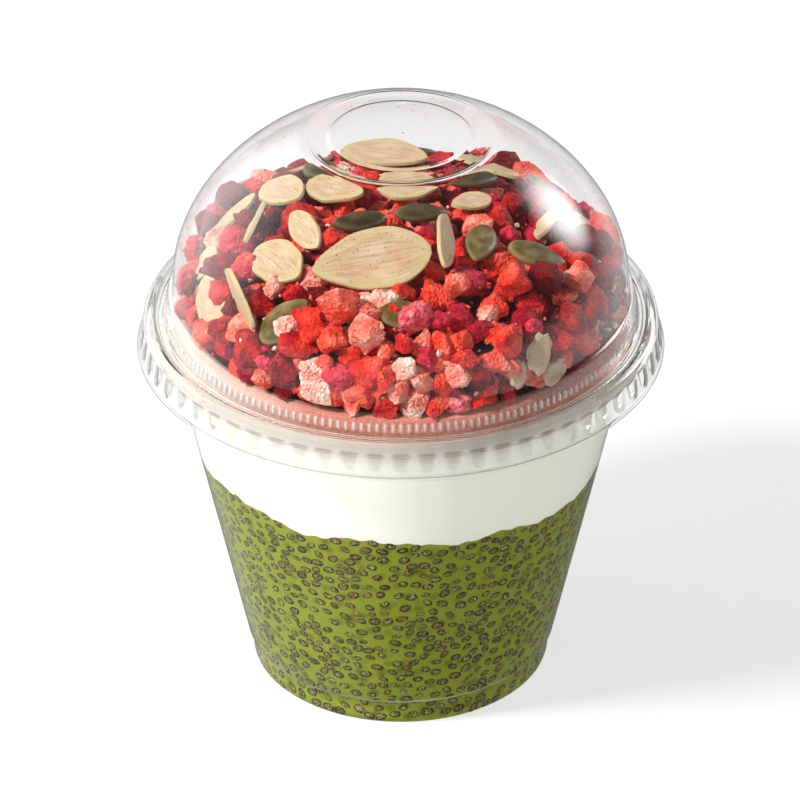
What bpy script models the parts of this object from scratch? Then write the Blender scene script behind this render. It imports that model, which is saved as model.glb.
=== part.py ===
"""A clear cup of green chia pudding and yogurt with a heap of toppings under a domed lid.

Metres, +Z up. The origin is the middle of the underside, and -Y is the front.
"""

import itertools
import math
import random

import bmesh
import bpy
from mathutils import Matrix, Vector

MM = 0.001

# Driving sizes of the cup
FOOT_RADIUS = 0.0276
WALL_FOOT_RADIUS = 0.0286
WALL_FOOT_HEIGHT = 0.0056
WALL_SLOPE = 0.221
RECESS_RADIUS = 0.0215
RECESS_DEPTH = 0.0020
FOOT_RING_RADIUS = 0.0235
FOOT_CORNER = 0.0010
CUP_FLOOR = 0.0030
NECK_DROP = 0.0042
RIM_RADIUS = 0.0457
RIM_DROP = 0.0030
RIM_TOP = 0.0717
CUP_WALL = 0.0008
ROUND_SIDES = 64

# Driving sizes of the domed lid
LID_WALL = 0.0006
SKIRT_RADIUS = 0.0482
SKIRT_BOTTOM = 0.0662
FLANGE_TOP = 0.0729
FLANGE_RADIUS = 0.0456
NECK_RADIUS = 0.0430
NECK_MIDDLE = 0.0747
NECK_TOP = 0.0773
DOME_RADIUS = 0.0415
DOME_START = 0.0800
DOME_RISE = 0.0325
DOME_POWER = 1.886
DISC_RADIUS = 0.0168
PLATEAU_RADIUS = 0.0129
PLATEAU_TOP = 0.1095
SKIRT_RIBS = 64
RIB_DEPTH = 0.0005

# Driving sizes of what fills the cup
GAP = 0.0003
FILL_SIDES = 68
PUDDING_TOP = 0.0458
PUDDING_SLANT = 0.0012
WAVE_ROOM = 0.0030
FLAT_SHARE = 0.6
YOGURT_TOP = 0.0704
YOGURT_EDGE = 0.0010

# Driving sizes of the topping heap and of what lies in it
HEAP_RADIUS = 0.0360
HEAP_SHOULDER = 0.0765
HEAP_RISE = 0.0157
HEAP_POWER = 2.4
HEAP_FOOT = 0.0012
HEAP_SIDES = 36
HEAP_STEPS = 7
SPREAD_STEPS = 24
BERRY_PIECES = 190
BERRY_DRAW = 8
BERRY_SIZE = (0.0042, 0.0058)
BERRY_STANDS_OUT = 0.30
LID_CLEARANCE = 0.0008
SUNK_SHARES = (0.0, 0.1, 0.2, 0.3, 0.4)
ALMOND_THICKNESS = 0.0011
ALMOND_STEPS = 6
SEED_THICKNESS = 0.0024

# Almond slices on top of the heap: across, along, length, width, turn, lean and lift. Places and sizes
# are in mm, turn and lean in degrees. Turn is measured from +X, lean raises the slice's far edge off the
# heap, and lift is how far its near edge lies above the heap's core.
ALMONDS = (
    (-4.9, -18.0, 21.5, 12.5, 12, 20, 1.0),
    (7.6, -13.5, 14.5, 6.5, 88, 60, 0.8),
    (-21.2, -13.8, 13.0, 9.0, -55, 8, 1.2),
    (-16.5, -8.0, 12.5, 5.5, -66, 40, 1.2),
    (-32.8, -11.8, 12.5, 9.0, -50, 0, 0.6),
    (-26.4, -19.2, 15.0, 6.0, -66, 55, 1.0),
    (-20.8, 9.4, 12.5, 8.0, -60, 10, 1.2),
    (-11.6, 7.0, 12.0, 8.0, -34, 12, 1.2),
    (1.2, 7.2, 11.0, 8.0, 6, 10, 1.2),
    (-2.7, 21.0, 17.5, 9.5, -30, 12, 1.4),
    (12.5, 3.0, 8.0, 4.5, 28, 10, 1.2),
    (25.0, -2.0, 12.0, 4.0, -106, 50, 1.2),
    (-25.4, -1.0, 12.0, 4.5, -106, 40, 1.0),
    (-30.4, 10.0, 14.0, 8.5, 40, 0, 0.6),
    (-34.4, -1.0, 11.0, 7.5, -47, 0, 0.5),
    (15.5, 22.0, 14.0, 8.0, -35, 0, 1.2),
    (-17.5, 26.0, 12.0, 7.0, 25, 0, 1.0),
    (30.5, 9.0, 13.0, 7.5, 60, 0, 0.8),
)

# Almond slices against the heap's side: angle, height, length, width and turn, in degrees and mm
SIDE_ALMONDS = (
    (-24, 75.2, 12.0, 7.0, 40),
    (-9, 75.6, 10.5, 6.5, -30),
    (128, 75.4, 12.0, 7.0, 20),
)

# Pumpkin seeds: across, along, length, width, turn and lift, in mm and degrees
SEEDS = (
    (-19.8, -25.6, 11.0, 7.0, 35, 1.0),
    (23.6, -10.8, 11.0, 6.5, -3, 1.2),
    (-7.4, -4.6, 10.0, 6.0, 10, 1.0),
    (-14.6, 17.0, 10.5, 6.0, -67, 1.0),
    (12.6, 12.0, 10.5, 6.0, 30, 1.0),
    (14.0, -10.4, 11.0, 6.0, -100, 1.0),
    (0.6, -28.4, 10.0, 6.0, -8, 0.8),
    (3.6, -2.0, 9.5, 5.5, 5, 1.0),
    (26.0, 20.0, 10.5, 6.0, -30, 0.8),
    (2.0, 32.0, 10.5, 6.0, 10, 0.6),
)


def clear_scene():
    for obj in list(bpy.data.objects):
        bpy.data.objects.remove(obj, do_unlink=True)


def make_material(name, colour, roughness, metallic=0.0):
    material = bpy.data.materials.new(name)
    material.use_nodes = True
    shader = material.node_tree.nodes["Principled BSDF"]
    shader.inputs["Base Color"].default_value = (*colour, 1.0)
    shader.inputs["Roughness"].default_value = roughness
    shader.inputs["Metallic"].default_value = metallic
    return material


def make_object(name, bm, material, sharp_degrees=35):
    """Turns the bmesh into a named object with closed, outward faces and smooth shading."""
    bmesh.ops.recalc_face_normals(bm, faces=bm.faces)
    if bm.calc_volume(signed=True) < 0:
        bmesh.ops.reverse_faces(bm, faces=bm.faces)
    mesh = bpy.data.meshes.new(name)
    bm.to_mesh(mesh)
    bm.free()
    mesh.shade_smooth()
    mesh.set_sharp_from_angle(angle=math.radians(sharp_degrees))
    mesh.materials.append(material)
    obj = bpy.data.objects.new(name, mesh)
    bpy.context.scene.collection.objects.link(obj)
    return obj


def ring(bm, radius, height, sides):
    """Adds one level ring of corners. Radius and height are numbers, or functions of the angle."""
    made = []
    for step in range(sides):
        angle = math.tau * step / sides
        reach = radius(angle) if callable(radius) else radius
        level = height(angle) if callable(height) else height
        made.append(bm.verts.new((reach * math.cos(angle), reach * math.sin(angle), level)))
    return made


def join_rings(bm, before, after):
    """Joins two rings with faces. They have as many sides, or one of them has twice as many."""
    fine, coarse = (before, after) if len(before) >= len(after) else (after, before)
    doubled = len(fine) > len(coarse)
    for step, corner in enumerate(coarse):
        following = coarse[(step + 1) % len(coarse)]
        if not doubled:
            bm.faces.new((fine[step], fine[(step + 1) % len(fine)], following, corner))
            continue
        start, middle, end = (fine[(2 * step + extra) % len(fine)] for extra in range(3))
        bm.faces.new((start, middle, corner))
        bm.faces.new((middle, following, corner))
        bm.faces.new((middle, end, following))


def stack_rings(rows):
    """Joins rings of (radius, height, sides) one after the other and caps the two ends."""
    bm = bmesh.new()
    first = before = ring(bm, *rows[0])
    for row in rows[1:]:
        after = ring(bm, *row)
        join_rings(bm, before, after)
        before = after
    bm.faces.new(first)
    bm.faces.new(before)
    return bm


def wall_radius(height):
    """Outer radius of the cup's sloping wall."""
    return WALL_FOOT_RADIUS + WALL_SLOPE * (height - WALL_FOOT_HEIGHT)


def boundary_height(angle):
    """Height of the wavy line where the pudding ends and the yogurt begins."""
    slant = -PUDDING_SLANT * math.cos(angle)
    wide = 0.00055 * math.cos(9 * angle + 2.9)
    narrow = 0.00030 * math.cos(16 * angle + 4.4) + 0.00025 * math.cos(5 * angle + 1.0)
    return PUDDING_TOP + slant + wide + narrow


def dome_point(rise_angle, wall=0.0):
    """Radius and height on the dome, or inside it by the thickness of its wall."""
    share = math.sin(rise_angle)
    reach = (1 - share**DOME_POWER) ** (1 / DOME_POWER)
    return (DOME_RADIUS - wall) * reach, DOME_START + (DOME_RISE - wall) * share


def dome_inside_radius(height):
    """Radius of the lid's inner side at a height."""
    neck, dome = NECK_RADIUS - LID_WALL, DOME_RADIUS - LID_WALL
    narrowing = (height - NECK_MIDDLE) / (NECK_TOP - NECK_MIDDLE)
    if narrowing < 1.0:
        return neck + (dome - neck) * max(0.0, narrowing)
    share = max(0.0, min(1.0, (height - DOME_START) / (DOME_RISE - LID_WALL)))
    return dome * (1 - share**DOME_POWER) ** (1 / DOME_POWER)


def make_cup(material):
    foot_top = WALL_FOOT_HEIGHT - 0.0005
    wall_end = RIM_TOP - NECK_DROP
    neck = wall_radius(wall_end) + 0.0004
    outside = [
        (RECESS_RADIUS, RECESS_DEPTH),
        (FOOT_RING_RADIUS, 0.0),
        (FOOT_RADIUS - FOOT_CORNER, 0.0),
        (FOOT_RADIUS, 0.8 * FOOT_CORNER),
        (FOOT_RADIUS + 0.0003, foot_top),
        (WALL_FOOT_RADIUS, WALL_FOOT_HEIGHT),
        (wall_radius(wall_end), wall_end),
        (neck, RIM_TOP - RIM_DROP),
        (RIM_RADIUS - 0.0003, RIM_TOP - RIM_DROP + 0.0002),
        (RIM_RADIUS, RIM_TOP - 0.0010),
        (RIM_RADIUS - 0.0008, RIM_TOP),
    ]
    inside = [
        (neck - 0.0002, RIM_TOP),
        (neck - CUP_WALL, RIM_TOP - CUP_WALL),
        (wall_radius(wall_end) - CUP_WALL, wall_end),
        (WALL_FOOT_RADIUS - CUP_WALL, WALL_FOOT_HEIGHT),
        (FOOT_RADIUS - CUP_WALL, foot_top - 0.0004),
        (FOOT_RADIUS - CUP_WALL - 0.0012, CUP_FLOOR),
    ]
    rows = [(radius, height, ROUND_SIDES) for radius, height in outside + inside]
    return make_object("cup", stack_rings(rows), material)


def make_pudding(material):
    inset = CUP_WALL + GAP
    below_waves = PUDDING_TOP - WAVE_ROOM

    def side(angle):
        return wall_radius(boundary_height(angle)) - inset

    rows = [
        (FOOT_RADIUS - inset - 0.0016, CUP_FLOOR + GAP, FILL_SIDES),
        (FOOT_RADIUS - inset - 0.0003, WALL_FOOT_HEIGHT - 0.0007, FILL_SIDES),
        (WALL_FOOT_RADIUS - inset, WALL_FOOT_HEIGHT + 0.0002, FILL_SIDES),
        (wall_radius(below_waves) - inset, below_waves, FILL_SIDES),
        (side, boundary_height, FILL_SIDES),
        (FLAT_SHARE * wall_radius(PUDDING_TOP), PUDDING_TOP, FILL_SIDES),
    ]
    return make_object("chia_pudding", stack_rings(rows), material)


def make_yogurt(material):
    inset = CUP_WALL + GAP
    above_waves = PUDDING_TOP + WAVE_ROOM
    wall_end = RIM_TOP - NECK_DROP
    widest = wall_radius(wall_end) - inset

    def lower_height(angle):
        return boundary_height(angle) + GAP

    def side(angle):
        return wall_radius(lower_height(angle)) - inset

    rows = [
        (FLAT_SHARE * wall_radius(PUDDING_TOP), PUDDING_TOP + GAP, FILL_SIDES),
        (side, lower_height, FILL_SIDES),
        (wall_radius(above_waves) - inset, above_waves, FILL_SIDES),
        (widest, wall_end, FILL_SIDES),
        (widest, YOGURT_TOP - 0.6 * YOGURT_EDGE, FILL_SIDES),
        (widest - YOGURT_EDGE, YOGURT_TOP, FILL_SIDES),
    ]
    return make_object("yogurt", stack_rings(rows), material)


def make_lid(material):
    steps, inner_steps = 6, 4
    highest = math.asin((1 - ((DISC_RADIUS + 0.0004) / DOME_RADIUS) ** DOME_POWER) ** (1 / DOME_POWER))
    dome = [dome_point(highest * (steps - step) / steps) for step in range(steps + 1)]
    dome_inner = [dome_point(highest * step / inner_steps, LID_WALL) for step in range(inner_steps + 1)]
    disc = dome[0][1] - 0.0005

    def ribbed(radius):
        return lambda angle: radius + 0.5 * RIB_DEPTH * math.cos(SKIRT_RIBS * angle)

    outside = [
        (PLATEAU_RADIUS - 0.0003, PLATEAU_TOP),
        (PLATEAU_RADIUS + 0.0003, PLATEAU_TOP - 0.0004),
        (PLATEAU_RADIUS + 0.0006, disc),
        (DISC_RADIUS, disc),
        *dome,
        (DOME_RADIUS + 0.0002, NECK_TOP + 0.0004),
        (NECK_RADIUS - 0.0007, NECK_TOP),
        (NECK_RADIUS, NECK_MIDDLE),
        (NECK_RADIUS + 0.0001, FLANGE_TOP - 0.0002),
        (FLANGE_RADIUS - 0.0004, FLANGE_TOP - 0.0002),
        (FLANGE_RADIUS, FLANGE_TOP),
        (FLANGE_RADIUS + 0.0010, FLANGE_TOP - 0.0005),
    ]
    skirt = [
        (FLANGE_RADIUS + 0.0012, FLANGE_TOP - 0.0010),
        (ribbed(FLANGE_RADIUS + 0.0015), FLANGE_TOP - 0.0016),
        (ribbed(SKIRT_RADIUS - 0.0007), SKIRT_BOTTOM + 0.0016),
        (SKIRT_RADIUS - 0.0004, SKIRT_BOTTOM + 0.0009),
        (SKIRT_RADIUS, SKIRT_BOTTOM),
    ]
    inside = [
        (SKIRT_RADIUS - LID_WALL, SKIRT_BOTTOM),
        (SKIRT_RADIUS - 0.0018, SKIRT_BOTTOM + 0.0022),
        (FLANGE_RADIUS + 0.0006, FLANGE_TOP - 0.0016),
        (FLANGE_RADIUS - 0.0002, FLANGE_TOP - 0.0009),
        (NECK_RADIUS - 0.0004, FLANGE_TOP - 0.0009),
        (NECK_RADIUS - LID_WALL, NECK_MIDDLE),
        (DOME_RADIUS - LID_WALL, NECK_TOP),
        *dome_inner,
        (PLATEAU_RADIUS, disc - LID_WALL),
    ]
    rows = [(radius, height, ROUND_SIDES) for radius, height in outside]
    rows += [(radius, height, 2 * SKIRT_RIBS) for radius, height in skirt]
    rows += [(radius, height, ROUND_SIDES) for radius, height in inside]
    return make_object("lid", stack_rings(rows), material)


def heap_height(across, along):
    """Height of the core of the heap above a point of the yogurt."""
    share = min(1.0, math.hypot(across, along) / HEAP_RADIUS)
    return HEAP_SHOULDER + HEAP_RISE * (1 - share**HEAP_POWER) ** (1 / HEAP_POWER)


def heap_normal(across, along):
    """Direction that the core of the heap faces above a point of the yogurt."""
    step = 0.0002
    slope_x = (heap_height(across + step, along) - heap_height(across - step, along)) / (2 * step)
    slope_y = (heap_height(across, along + step) - heap_height(across, along - step)) / (2 * step)
    return Vector((-slope_x, -slope_y, 1.0)).normalized()


def lying_on_heap(across, along, turn, lean, lift):
    """Place and turn of a thing that lies on the heap, its length along X and its face along Z."""
    normal = heap_normal(across, along)
    place = Vector((across, along, heap_height(across, along))) + normal * lift
    level = (Vector((1, 0, 0)) - normal * normal.x).normalized()
    frame = Matrix((level, normal.cross(level), normal)).transposed().to_4x4()
    spin = Matrix.Rotation(math.radians(turn), 4, "Z") @ Matrix.Rotation(math.radians(lean), 4, "X")
    return Matrix.Translation(place) @ frame @ spin


def beside_heap(angle, height, turn, lift):
    """Place and turn of a thing that stands flat against the heap's side."""
    normal = Vector((math.cos(angle), math.sin(angle), 0))
    place = normal * (HEAP_RADIUS + lift) + Vector((0, 0, height))
    level = Vector((-normal.y, normal.x, 0))
    frame = Matrix((level, normal.cross(level), normal)).transposed().to_4x4()
    return Matrix.Translation(place) @ frame @ Matrix.Rotation(math.radians(turn), 4, "Z")


def almond_places():
    """Length, width and frame of every almond slice, in metres."""
    places = []
    for across, along, length, width, turn, lean, lift in ALMONDS:
        tilt_room = 0.5 * width * abs(math.sin(math.radians(lean)))
        height = (lift + tilt_room) * MM + 0.5 * ALMOND_THICKNESS
        frame = lying_on_heap(across * MM, along * MM, turn, lean, height)
        places.append((length * MM, width * MM, frame))
    for angle, height, length, width, turn in SIDE_ALMONDS:
        frame = beside_heap(math.radians(angle), height * MM, turn, GAP + 0.5 * ALMOND_THICKNESS)
        places.append((length * MM, width * MM, frame))
    return places


def seed_places():
    """Length, width and frame of every pumpkin seed, in metres."""
    places = []
    for across, along, length, width, turn, lift in SEEDS:
        height = lift * MM + 0.5 * SEED_THICKNESS
        frame = lying_on_heap(across * MM, along * MM, turn, 0, height)
        places.append((length * MM, width * MM, frame))
    return places


def almond_outline(share):
    """Half width of an almond slice along its length, as a share of its width, blunt end first."""
    return 0.5 * math.sin(math.pi * share**0.85) ** 0.62


def make_almond(index, place, material):
    """A thin slice, blunt at one end and pointed at the other."""
    length, width, frame = place
    bm = bmesh.new()
    corners = []
    for side in (1, -1):
        order = range(ALMOND_STEPS) if side == 1 else range(ALMOND_STEPS, 0, -1)
        for step in order:
            share = step / ALMOND_STEPS
            across = side * almond_outline(share) * width
            corners.append(bm.verts.new(((share - 0.5) * length, across, 0.0)))
    face = bm.faces.new(corners)
    bmesh.ops.translate(bm, verts=corners, vec=(0, 0, -0.5 * ALMOND_THICKNESS))
    grown = bmesh.ops.extrude_face_region(bm, geom=[face])["geom"]
    raised = [item for item in grown if isinstance(item, bmesh.types.BMVert)]
    bmesh.ops.translate(bm, verts=raised, vec=(0, 0, ALMOND_THICKNESS))
    bm.transform(frame)
    return make_object(f"almond_slice_{index:02d}", bm, material)


def make_seed(index, place, material):
    """A flat pointed seed: a sphere pressed thin, with one end drawn out."""
    length, width, frame = place
    bm = bmesh.new()
    bmesh.ops.create_uvsphere(bm, u_segments=8, v_segments=5, radius=0.5)
    for vert in bm.verts:
        x, y, z = vert.co.z, vert.co.x, vert.co.y
        narrowing = 1.0 - 0.45 * max(0.0, x / 0.5) ** 1.5
        vert.co = Vector((x * length, y * width * narrowing, z * SEED_THICKNESS))
    bm.transform(frame)
    return make_object(f"pumpkin_seed_{index:02d}", bm, material)


def heap_profile(steps):
    """Radius and height of the core's outline, from its foot on the yogurt up to its top."""
    outline = [(HEAP_RADIUS, YOGURT_TOP + HEAP_FOOT), (HEAP_RADIUS, HEAP_SHOULDER)]
    for step in range(1, steps + 1):
        share = math.sin(0.5 * math.pi * step / steps)
        reach = HEAP_RADIUS * max(0.0, 1 - share**HEAP_POWER) ** (1 / HEAP_POWER)
        outline.append((reach, HEAP_SHOULDER + HEAP_RISE * share))
    return outline


def surface_spots(count, chance):
    """Spots spread evenly over the heap's core, from its foot up to its top, with the way each faces."""
    outline = heap_profile(SPREAD_STEPS)
    belts = []
    for (low_reach, low), (high_reach, high) in zip(outline, outline[1:]):
        slant = math.hypot(low_reach - high_reach, high - low)
        belts.append(0.5 * (low_reach + high_reach) * slant)
    golden = math.pi * (3 - math.sqrt(5))
    spots = []
    for number in range(count):
        wanted = sum(belts) * (number + 0.5) / count
        belt = 0
        while wanted > belts[belt]:
            wanted -= belts[belt]
            belt += 1
        (low_reach, low), (high_reach, high) = outline[belt], outline[belt + 1]
        share = wanted / belts[belt]
        reach = low_reach + (high_reach - low_reach) * share
        slope = Vector((high - low, low_reach - high_reach)).normalized()
        angle = number * golden + chance.uniform(-0.05, 0.05)
        ahead = Vector((math.cos(angle), math.sin(angle), 0))
        spot = ahead * reach + Vector((0, 0, low + (high - low) * share))
        spots.append((spot, ahead * slope.x + Vector((0, 0, slope.y))))
    return spots


def berry_block(place, size, chance):
    """Corners of one irregular block of freeze-dried strawberry, in the order of a cube's corners."""
    proportions = [size * chance.uniform(0.75, 1.1) for _ in range(3)]
    axis = Vector([chance.gauss(0, 1) for _ in range(3)])
    turn = Matrix.Rotation(chance.uniform(0, math.tau), 4, axis)
    corners = []
    for signs in itertools.product((-0.5, 0.5), repeat=3):
        halves = [sign * length for sign, length in zip(signs, proportions)]
        corner = Vector([half * chance.uniform(0.72, 1.05) for half in halves])
        corners.append(turn @ corner + place)
    return corners


def make_block(name, corners, material):
    bm = bmesh.new()
    verts = [bm.verts.new(corner) for corner in corners]
    for face in ((0, 1, 3, 2), (4, 5, 7, 6), (0, 1, 5, 4), (2, 3, 7, 6), (0, 2, 6, 4), (1, 3, 7, 5)):
        bm.faces.new([verts[number] for number in face])
    return make_object(name, bm, material)


def crosses_flat_thing(place, reach, things):
    """True if a block round this place would touch one of the slices or seeds."""
    for frame, half_length, half_width, half_thickness in things:
        local = frame @ place
        if abs(local.z) < half_thickness + reach:
            span = math.hypot(local.x / (half_length + reach), local.y / (half_width + reach))
            if span < 1.0:
                return True
    return False


def flat_things():
    """Frame and half sizes of every slice and seed, to keep the berry blocks off them."""
    slices = [(*place, 0.5 * ALMOND_THICKNESS) for place in almond_places()]
    seeds = [(*place, 0.5 * SEED_THICKNESS) for place in seed_places()]
    return [
        (frame.inverted(), 0.5 * length, 0.5 * width, half_thickness)
        for length, width, frame, half_thickness in slices + seeds
    ]


def inside_lid(corners):
    """True if every corner keeps its distance from the lid and from the yogurt."""
    for corner in corners:
        room = dome_inside_radius(corner.z) - math.hypot(corner.x, corner.y)
        if room < LID_CLEARANCE or corner.z < YOGURT_TOP + GAP:
            return False
    return True


def make_heap_core(material):
    rows = [(HEAP_RADIUS - 0.0006, YOGURT_TOP + GAP, HEAP_SIDES)]
    rows += [(radius, height, HEAP_SIDES) for radius, height in heap_profile(HEAP_STEPS)[:-1]]
    return make_object("topping_heap", stack_rings(rows), material)


def keep_outer_shell(mesh):
    """Keeps the largest shell of the fused heap, so that scraps and sealed hollows go."""
    bm = bmesh.new()
    bm.from_mesh(mesh)
    left = set(bm.verts)
    shells = []
    while left:
        shell, front = set(), [left.pop()]
        while front:
            vert = front.pop()
            shell.add(vert)
            for edge in vert.link_edges:
                other = edge.other_vert(vert)
                if other in left:
                    left.remove(other)
                    front.append(other)
        shells.append(shell)
    largest = max(shells, key=len)
    scraps = [vert for vert in bm.verts if vert not in largest]
    bmesh.ops.delete(bm, geom=scraps, context="VERTS")
    bmesh.ops.recalc_face_normals(bm, faces=bm.faces)
    bm.to_mesh(mesh)
    bm.free()


def make_heap(material):
    """The heap's core with blocks of strawberry fused on, evenly spread and clear of slices and seeds."""
    chance = random.Random(BERRY_DRAW)
    heap = make_heap_core(material)
    blocks = bpy.data.collections.new("berry_blocks")
    bpy.context.scene.collection.children.link(blocks)
    things = flat_things()
    for number, (spot, normal) in enumerate(surface_spots(BERRY_PIECES, chance)):
        for sunk in SUNK_SHARES:
            size = chance.uniform(*BERRY_SIZE) * (1 - 0.5 * sunk)
            corners = berry_block(spot + normal * size * (BERRY_STANDS_OUT - sunk), size, chance)
            place = sum(corners, Vector()) / len(corners)
            reach = max((corner - place).length for corner in corners)
            if not crosses_flat_thing(place, reach, things) and inside_lid(corners):
                block = make_block(f"berry_block_{number:03d}", corners, material)
                bpy.context.scene.collection.objects.unlink(block)
                blocks.objects.link(block)
                break
    union = heap.modifiers.new("fuse", "BOOLEAN")
    union.operation = "UNION"
    union.solver = "EXACT"
    union.operand_type = "COLLECTION"
    union.collection = blocks
    bpy.context.view_layer.update()
    fused = bpy.data.meshes.new_from_object(heap.evaluated_get(bpy.context.evaluated_depsgraph_get()))
    heap.modifiers.remove(union)
    heap.data = fused
    for block in list(blocks.objects):
        bpy.data.objects.remove(block, do_unlink=True)
    bpy.data.collections.remove(blocks)
    keep_outer_shell(fused)
    return heap


def main():
    clear_scene()
    clear_plastic = make_material("clear_plastic", (0.86, 0.88, 0.88), 0.08)
    pudding_green = make_material("chia_pudding_green", (0.23, 0.27, 0.035), 0.45)
    yogurt_white = make_material("yogurt_white", (0.90, 0.88, 0.83), 0.50)
    berry_red = make_material("freeze_dried_strawberry", (0.68, 0.06, 0.05), 0.75)
    almond_cream = make_material("almond_cream", (0.80, 0.68, 0.46), 0.60)
    seed_green = make_material("pumpkin_seed_green", (0.17, 0.18, 0.05), 0.55)
    make_cup(clear_plastic)
    make_pudding(pudding_green)
    make_yogurt(yogurt_white)
    make_heap(berry_red)
    for index, place in enumerate(almond_places(), start=1):
        make_almond(index, place, almond_cream)
    for index, place in enumerate(seed_places(), start=1):
        make_seed(index, place, seed_green)
    make_lid(clear_plastic)


main()
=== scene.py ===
"""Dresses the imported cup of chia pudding: clear plastic, pudding with its seeds, yogurt and toppings.

It is laid out as an add-on, with one operator for each piece or group of like pieces. Lengths are metres.
"""

import contextlib
import functools
import math
import random

import bmesh
import bpy
import numpy as np
from mathutils import Matrix, Vector


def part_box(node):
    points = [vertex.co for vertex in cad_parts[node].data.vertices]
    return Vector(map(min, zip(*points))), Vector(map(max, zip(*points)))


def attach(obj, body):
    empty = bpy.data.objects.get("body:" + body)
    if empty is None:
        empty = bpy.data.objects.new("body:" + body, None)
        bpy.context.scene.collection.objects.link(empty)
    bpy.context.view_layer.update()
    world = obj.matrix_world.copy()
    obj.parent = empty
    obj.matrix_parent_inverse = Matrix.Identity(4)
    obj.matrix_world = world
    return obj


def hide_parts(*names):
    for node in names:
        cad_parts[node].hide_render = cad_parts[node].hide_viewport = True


bl_info = {
    "name": "Chia Pudding Cup",
    "version": (1, 0, 0),
    "blender": (4, 5, 0),
    "location": "View3D > Sidebar > Pudding Cup",
    "description": "Models a clear cup of chia pudding and yogurt with dry toppings under a domed lid",
    "category": "Add Mesh",
}

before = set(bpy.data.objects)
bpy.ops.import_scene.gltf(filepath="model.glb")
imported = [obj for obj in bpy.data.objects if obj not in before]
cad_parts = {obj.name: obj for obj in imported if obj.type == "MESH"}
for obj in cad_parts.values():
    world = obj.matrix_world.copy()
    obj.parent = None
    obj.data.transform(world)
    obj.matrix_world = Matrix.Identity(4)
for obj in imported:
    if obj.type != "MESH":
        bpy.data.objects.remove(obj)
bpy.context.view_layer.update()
_, CUP_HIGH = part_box("cup")
LID_LOW, LID_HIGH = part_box("lid")
MM = 0.001
CAMERA_RISE = math.radians(31.85)
TO_CAMERA = Vector((0, -math.cos(CAMERA_RISE), math.sin(CAMERA_RISE)))
HEAP_MIDDLE = Vector((0, 0, 62 * MM))
# Steps round the lid in one flute of its skirt, and from one tick of its neck to the next.
FLUTE_STEPS, TICK_STEPS = 9, 3


def hex_colour(code):
    """An sRGB hex colour as linear red, green, blue and alpha."""
    levels = [int(code[place:place + 2], 16) / 255 for place in (1, 3, 5)]
    linear = [level / 12.92 if level <= 0.04045 else ((level + 0.055) / 1.055) ** 2.4 for level in levels]
    return (*linear, 1.0)


def length(name, description, default):
    return bpy.props.FloatProperty(
        name=name, description=description, default=default, unit="LENGTH", precision=5
    )


def factor(name, description, default):
    return bpy.props.FloatProperty(name=name, description=description, default=default)


def colour(name, description, code):
    return bpy.props.FloatVectorProperty(
        name=name, description=description, default=hex_colour(code), size=4, subtype="COLOR", min=0, max=1
    )


class CupSizes(bpy.types.PropertyGroup):
    rim_top: length("Rim top", "Height of the rolled rim", CUP_HIGH.z)
    rim_radius: length("Rim radius", "Outer radius of the rolled rim", CUP_HIGH.x)
    wall: length("Wall", "Thickness of the clear sheet", 0.0004)
    foot_radius: length("Foot radius", "Radius of the straight foot", 0.0276)
    ledge_radius: length("Ledge radius", "Radius of the wall just above the foot", 0.0286)
    ledge_height: length("Ledge height", "Height of the ledge between foot and wall", 0.0056)
    slope: factor("Slope", "Widening of the wall for each metre up", 0.221)
    sides: bpy.props.IntProperty(name="Sides", description="Steps round the cup", default=192, min=12)


class LidSizes(bpy.types.PropertyGroup):
    top: length("Top", "Height of the raised disc", LID_HIGH.z)
    skirt_radius: length("Skirt radius", "Radius at the skirt's lower edge", LID_HIGH.x)
    skirt_bottom: length("Skirt bottom", "Height of the skirt's lower edge", LID_LOW.z)
    wall: length("Wall", "Thickness of the clear sheet", 0.0003)
    rim_radius: length("Rim radius", "Radius of the band over the cup's rim", 0.0456)
    rim_height: length("Rim height", "Height of that band", 0.0729)
    neck_radius: length("Neck radius", "Radius of the waist between rim and dome", 0.0430)
    dome_radius: length("Dome radius", "Radius where the dome starts", 0.0415)
    dome_start: length("Dome start", "Height where the dome starts", 0.0800)
    dome_rise: length("Dome rise", "Height of the dome's full curve", 0.0325)
    dome_power: factor("Dome power", "Fullness of the curve, 2 is round", 1.886)
    disc_radius: length("Disc radius", "Radius of the groove round the raised disc", 0.0162)
    plateau_radius: length("Plateau radius", "Radius of the raised disc", 0.0132)
    flutes: bpy.props.IntProperty(name="Flutes", description="Flutes round the skirt", default=64, min=3)
    flute_depth: length("Flute depth", "How far each flute is pressed in", 0.0003)
    tick_height: length("Tick height", "How far the fine ticks round the neck stand out", 0.00022)


class FillingSizes(bpy.types.PropertyGroup):
    pudding_top: length("Pudding top", "Middle height of the pudding's wavy edge", 0.0458)
    slant: length("Slant", "How much lower the edge lies on the right", 0.0012)
    yogurt_top: length("Yogurt top", "Height of the yogurt", 0.0704)
    into_wall: length("Into wall", "How far the fillings reach into the clear wall", 0.0001)
    seed_length: length("Seed length", "Length of a soaked chia seed", 0.00238)
    seed_width: length("Seed width", "Width of a soaked chia seed", 0.00184)
    seed_area: factor("Seed area", "Wall for each seed, in mm2", 7.0)


class ToppingSizes(bpy.types.PropertyGroup):
    heap_radius: length("Heap radius", "Radius of the heap's outside", 0.0396)
    heap_shoulder: length("Heap shoulder", "Height where the heap's side turns in", 0.0775)
    heap_top: length("Heap top", "Height of the heap without its slices", 0.0920)
    heap_foot: length("Heap foot", "Height of the lowest pieces at the lid's wall", 0.0758)
    heap_power: factor("Heap power", "Fullness of the heap, 2 is round", 2.7)
    berry_size: length("Berry size", "Usual size of a strawberry piece", 0.0051)
    almond_thickness: length("Almond thickness", "Thickness of a sliced almond", 0.0007)
    crumb_size: length("Crumb size", "Usual size of a crumb", 0.0007)


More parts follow.
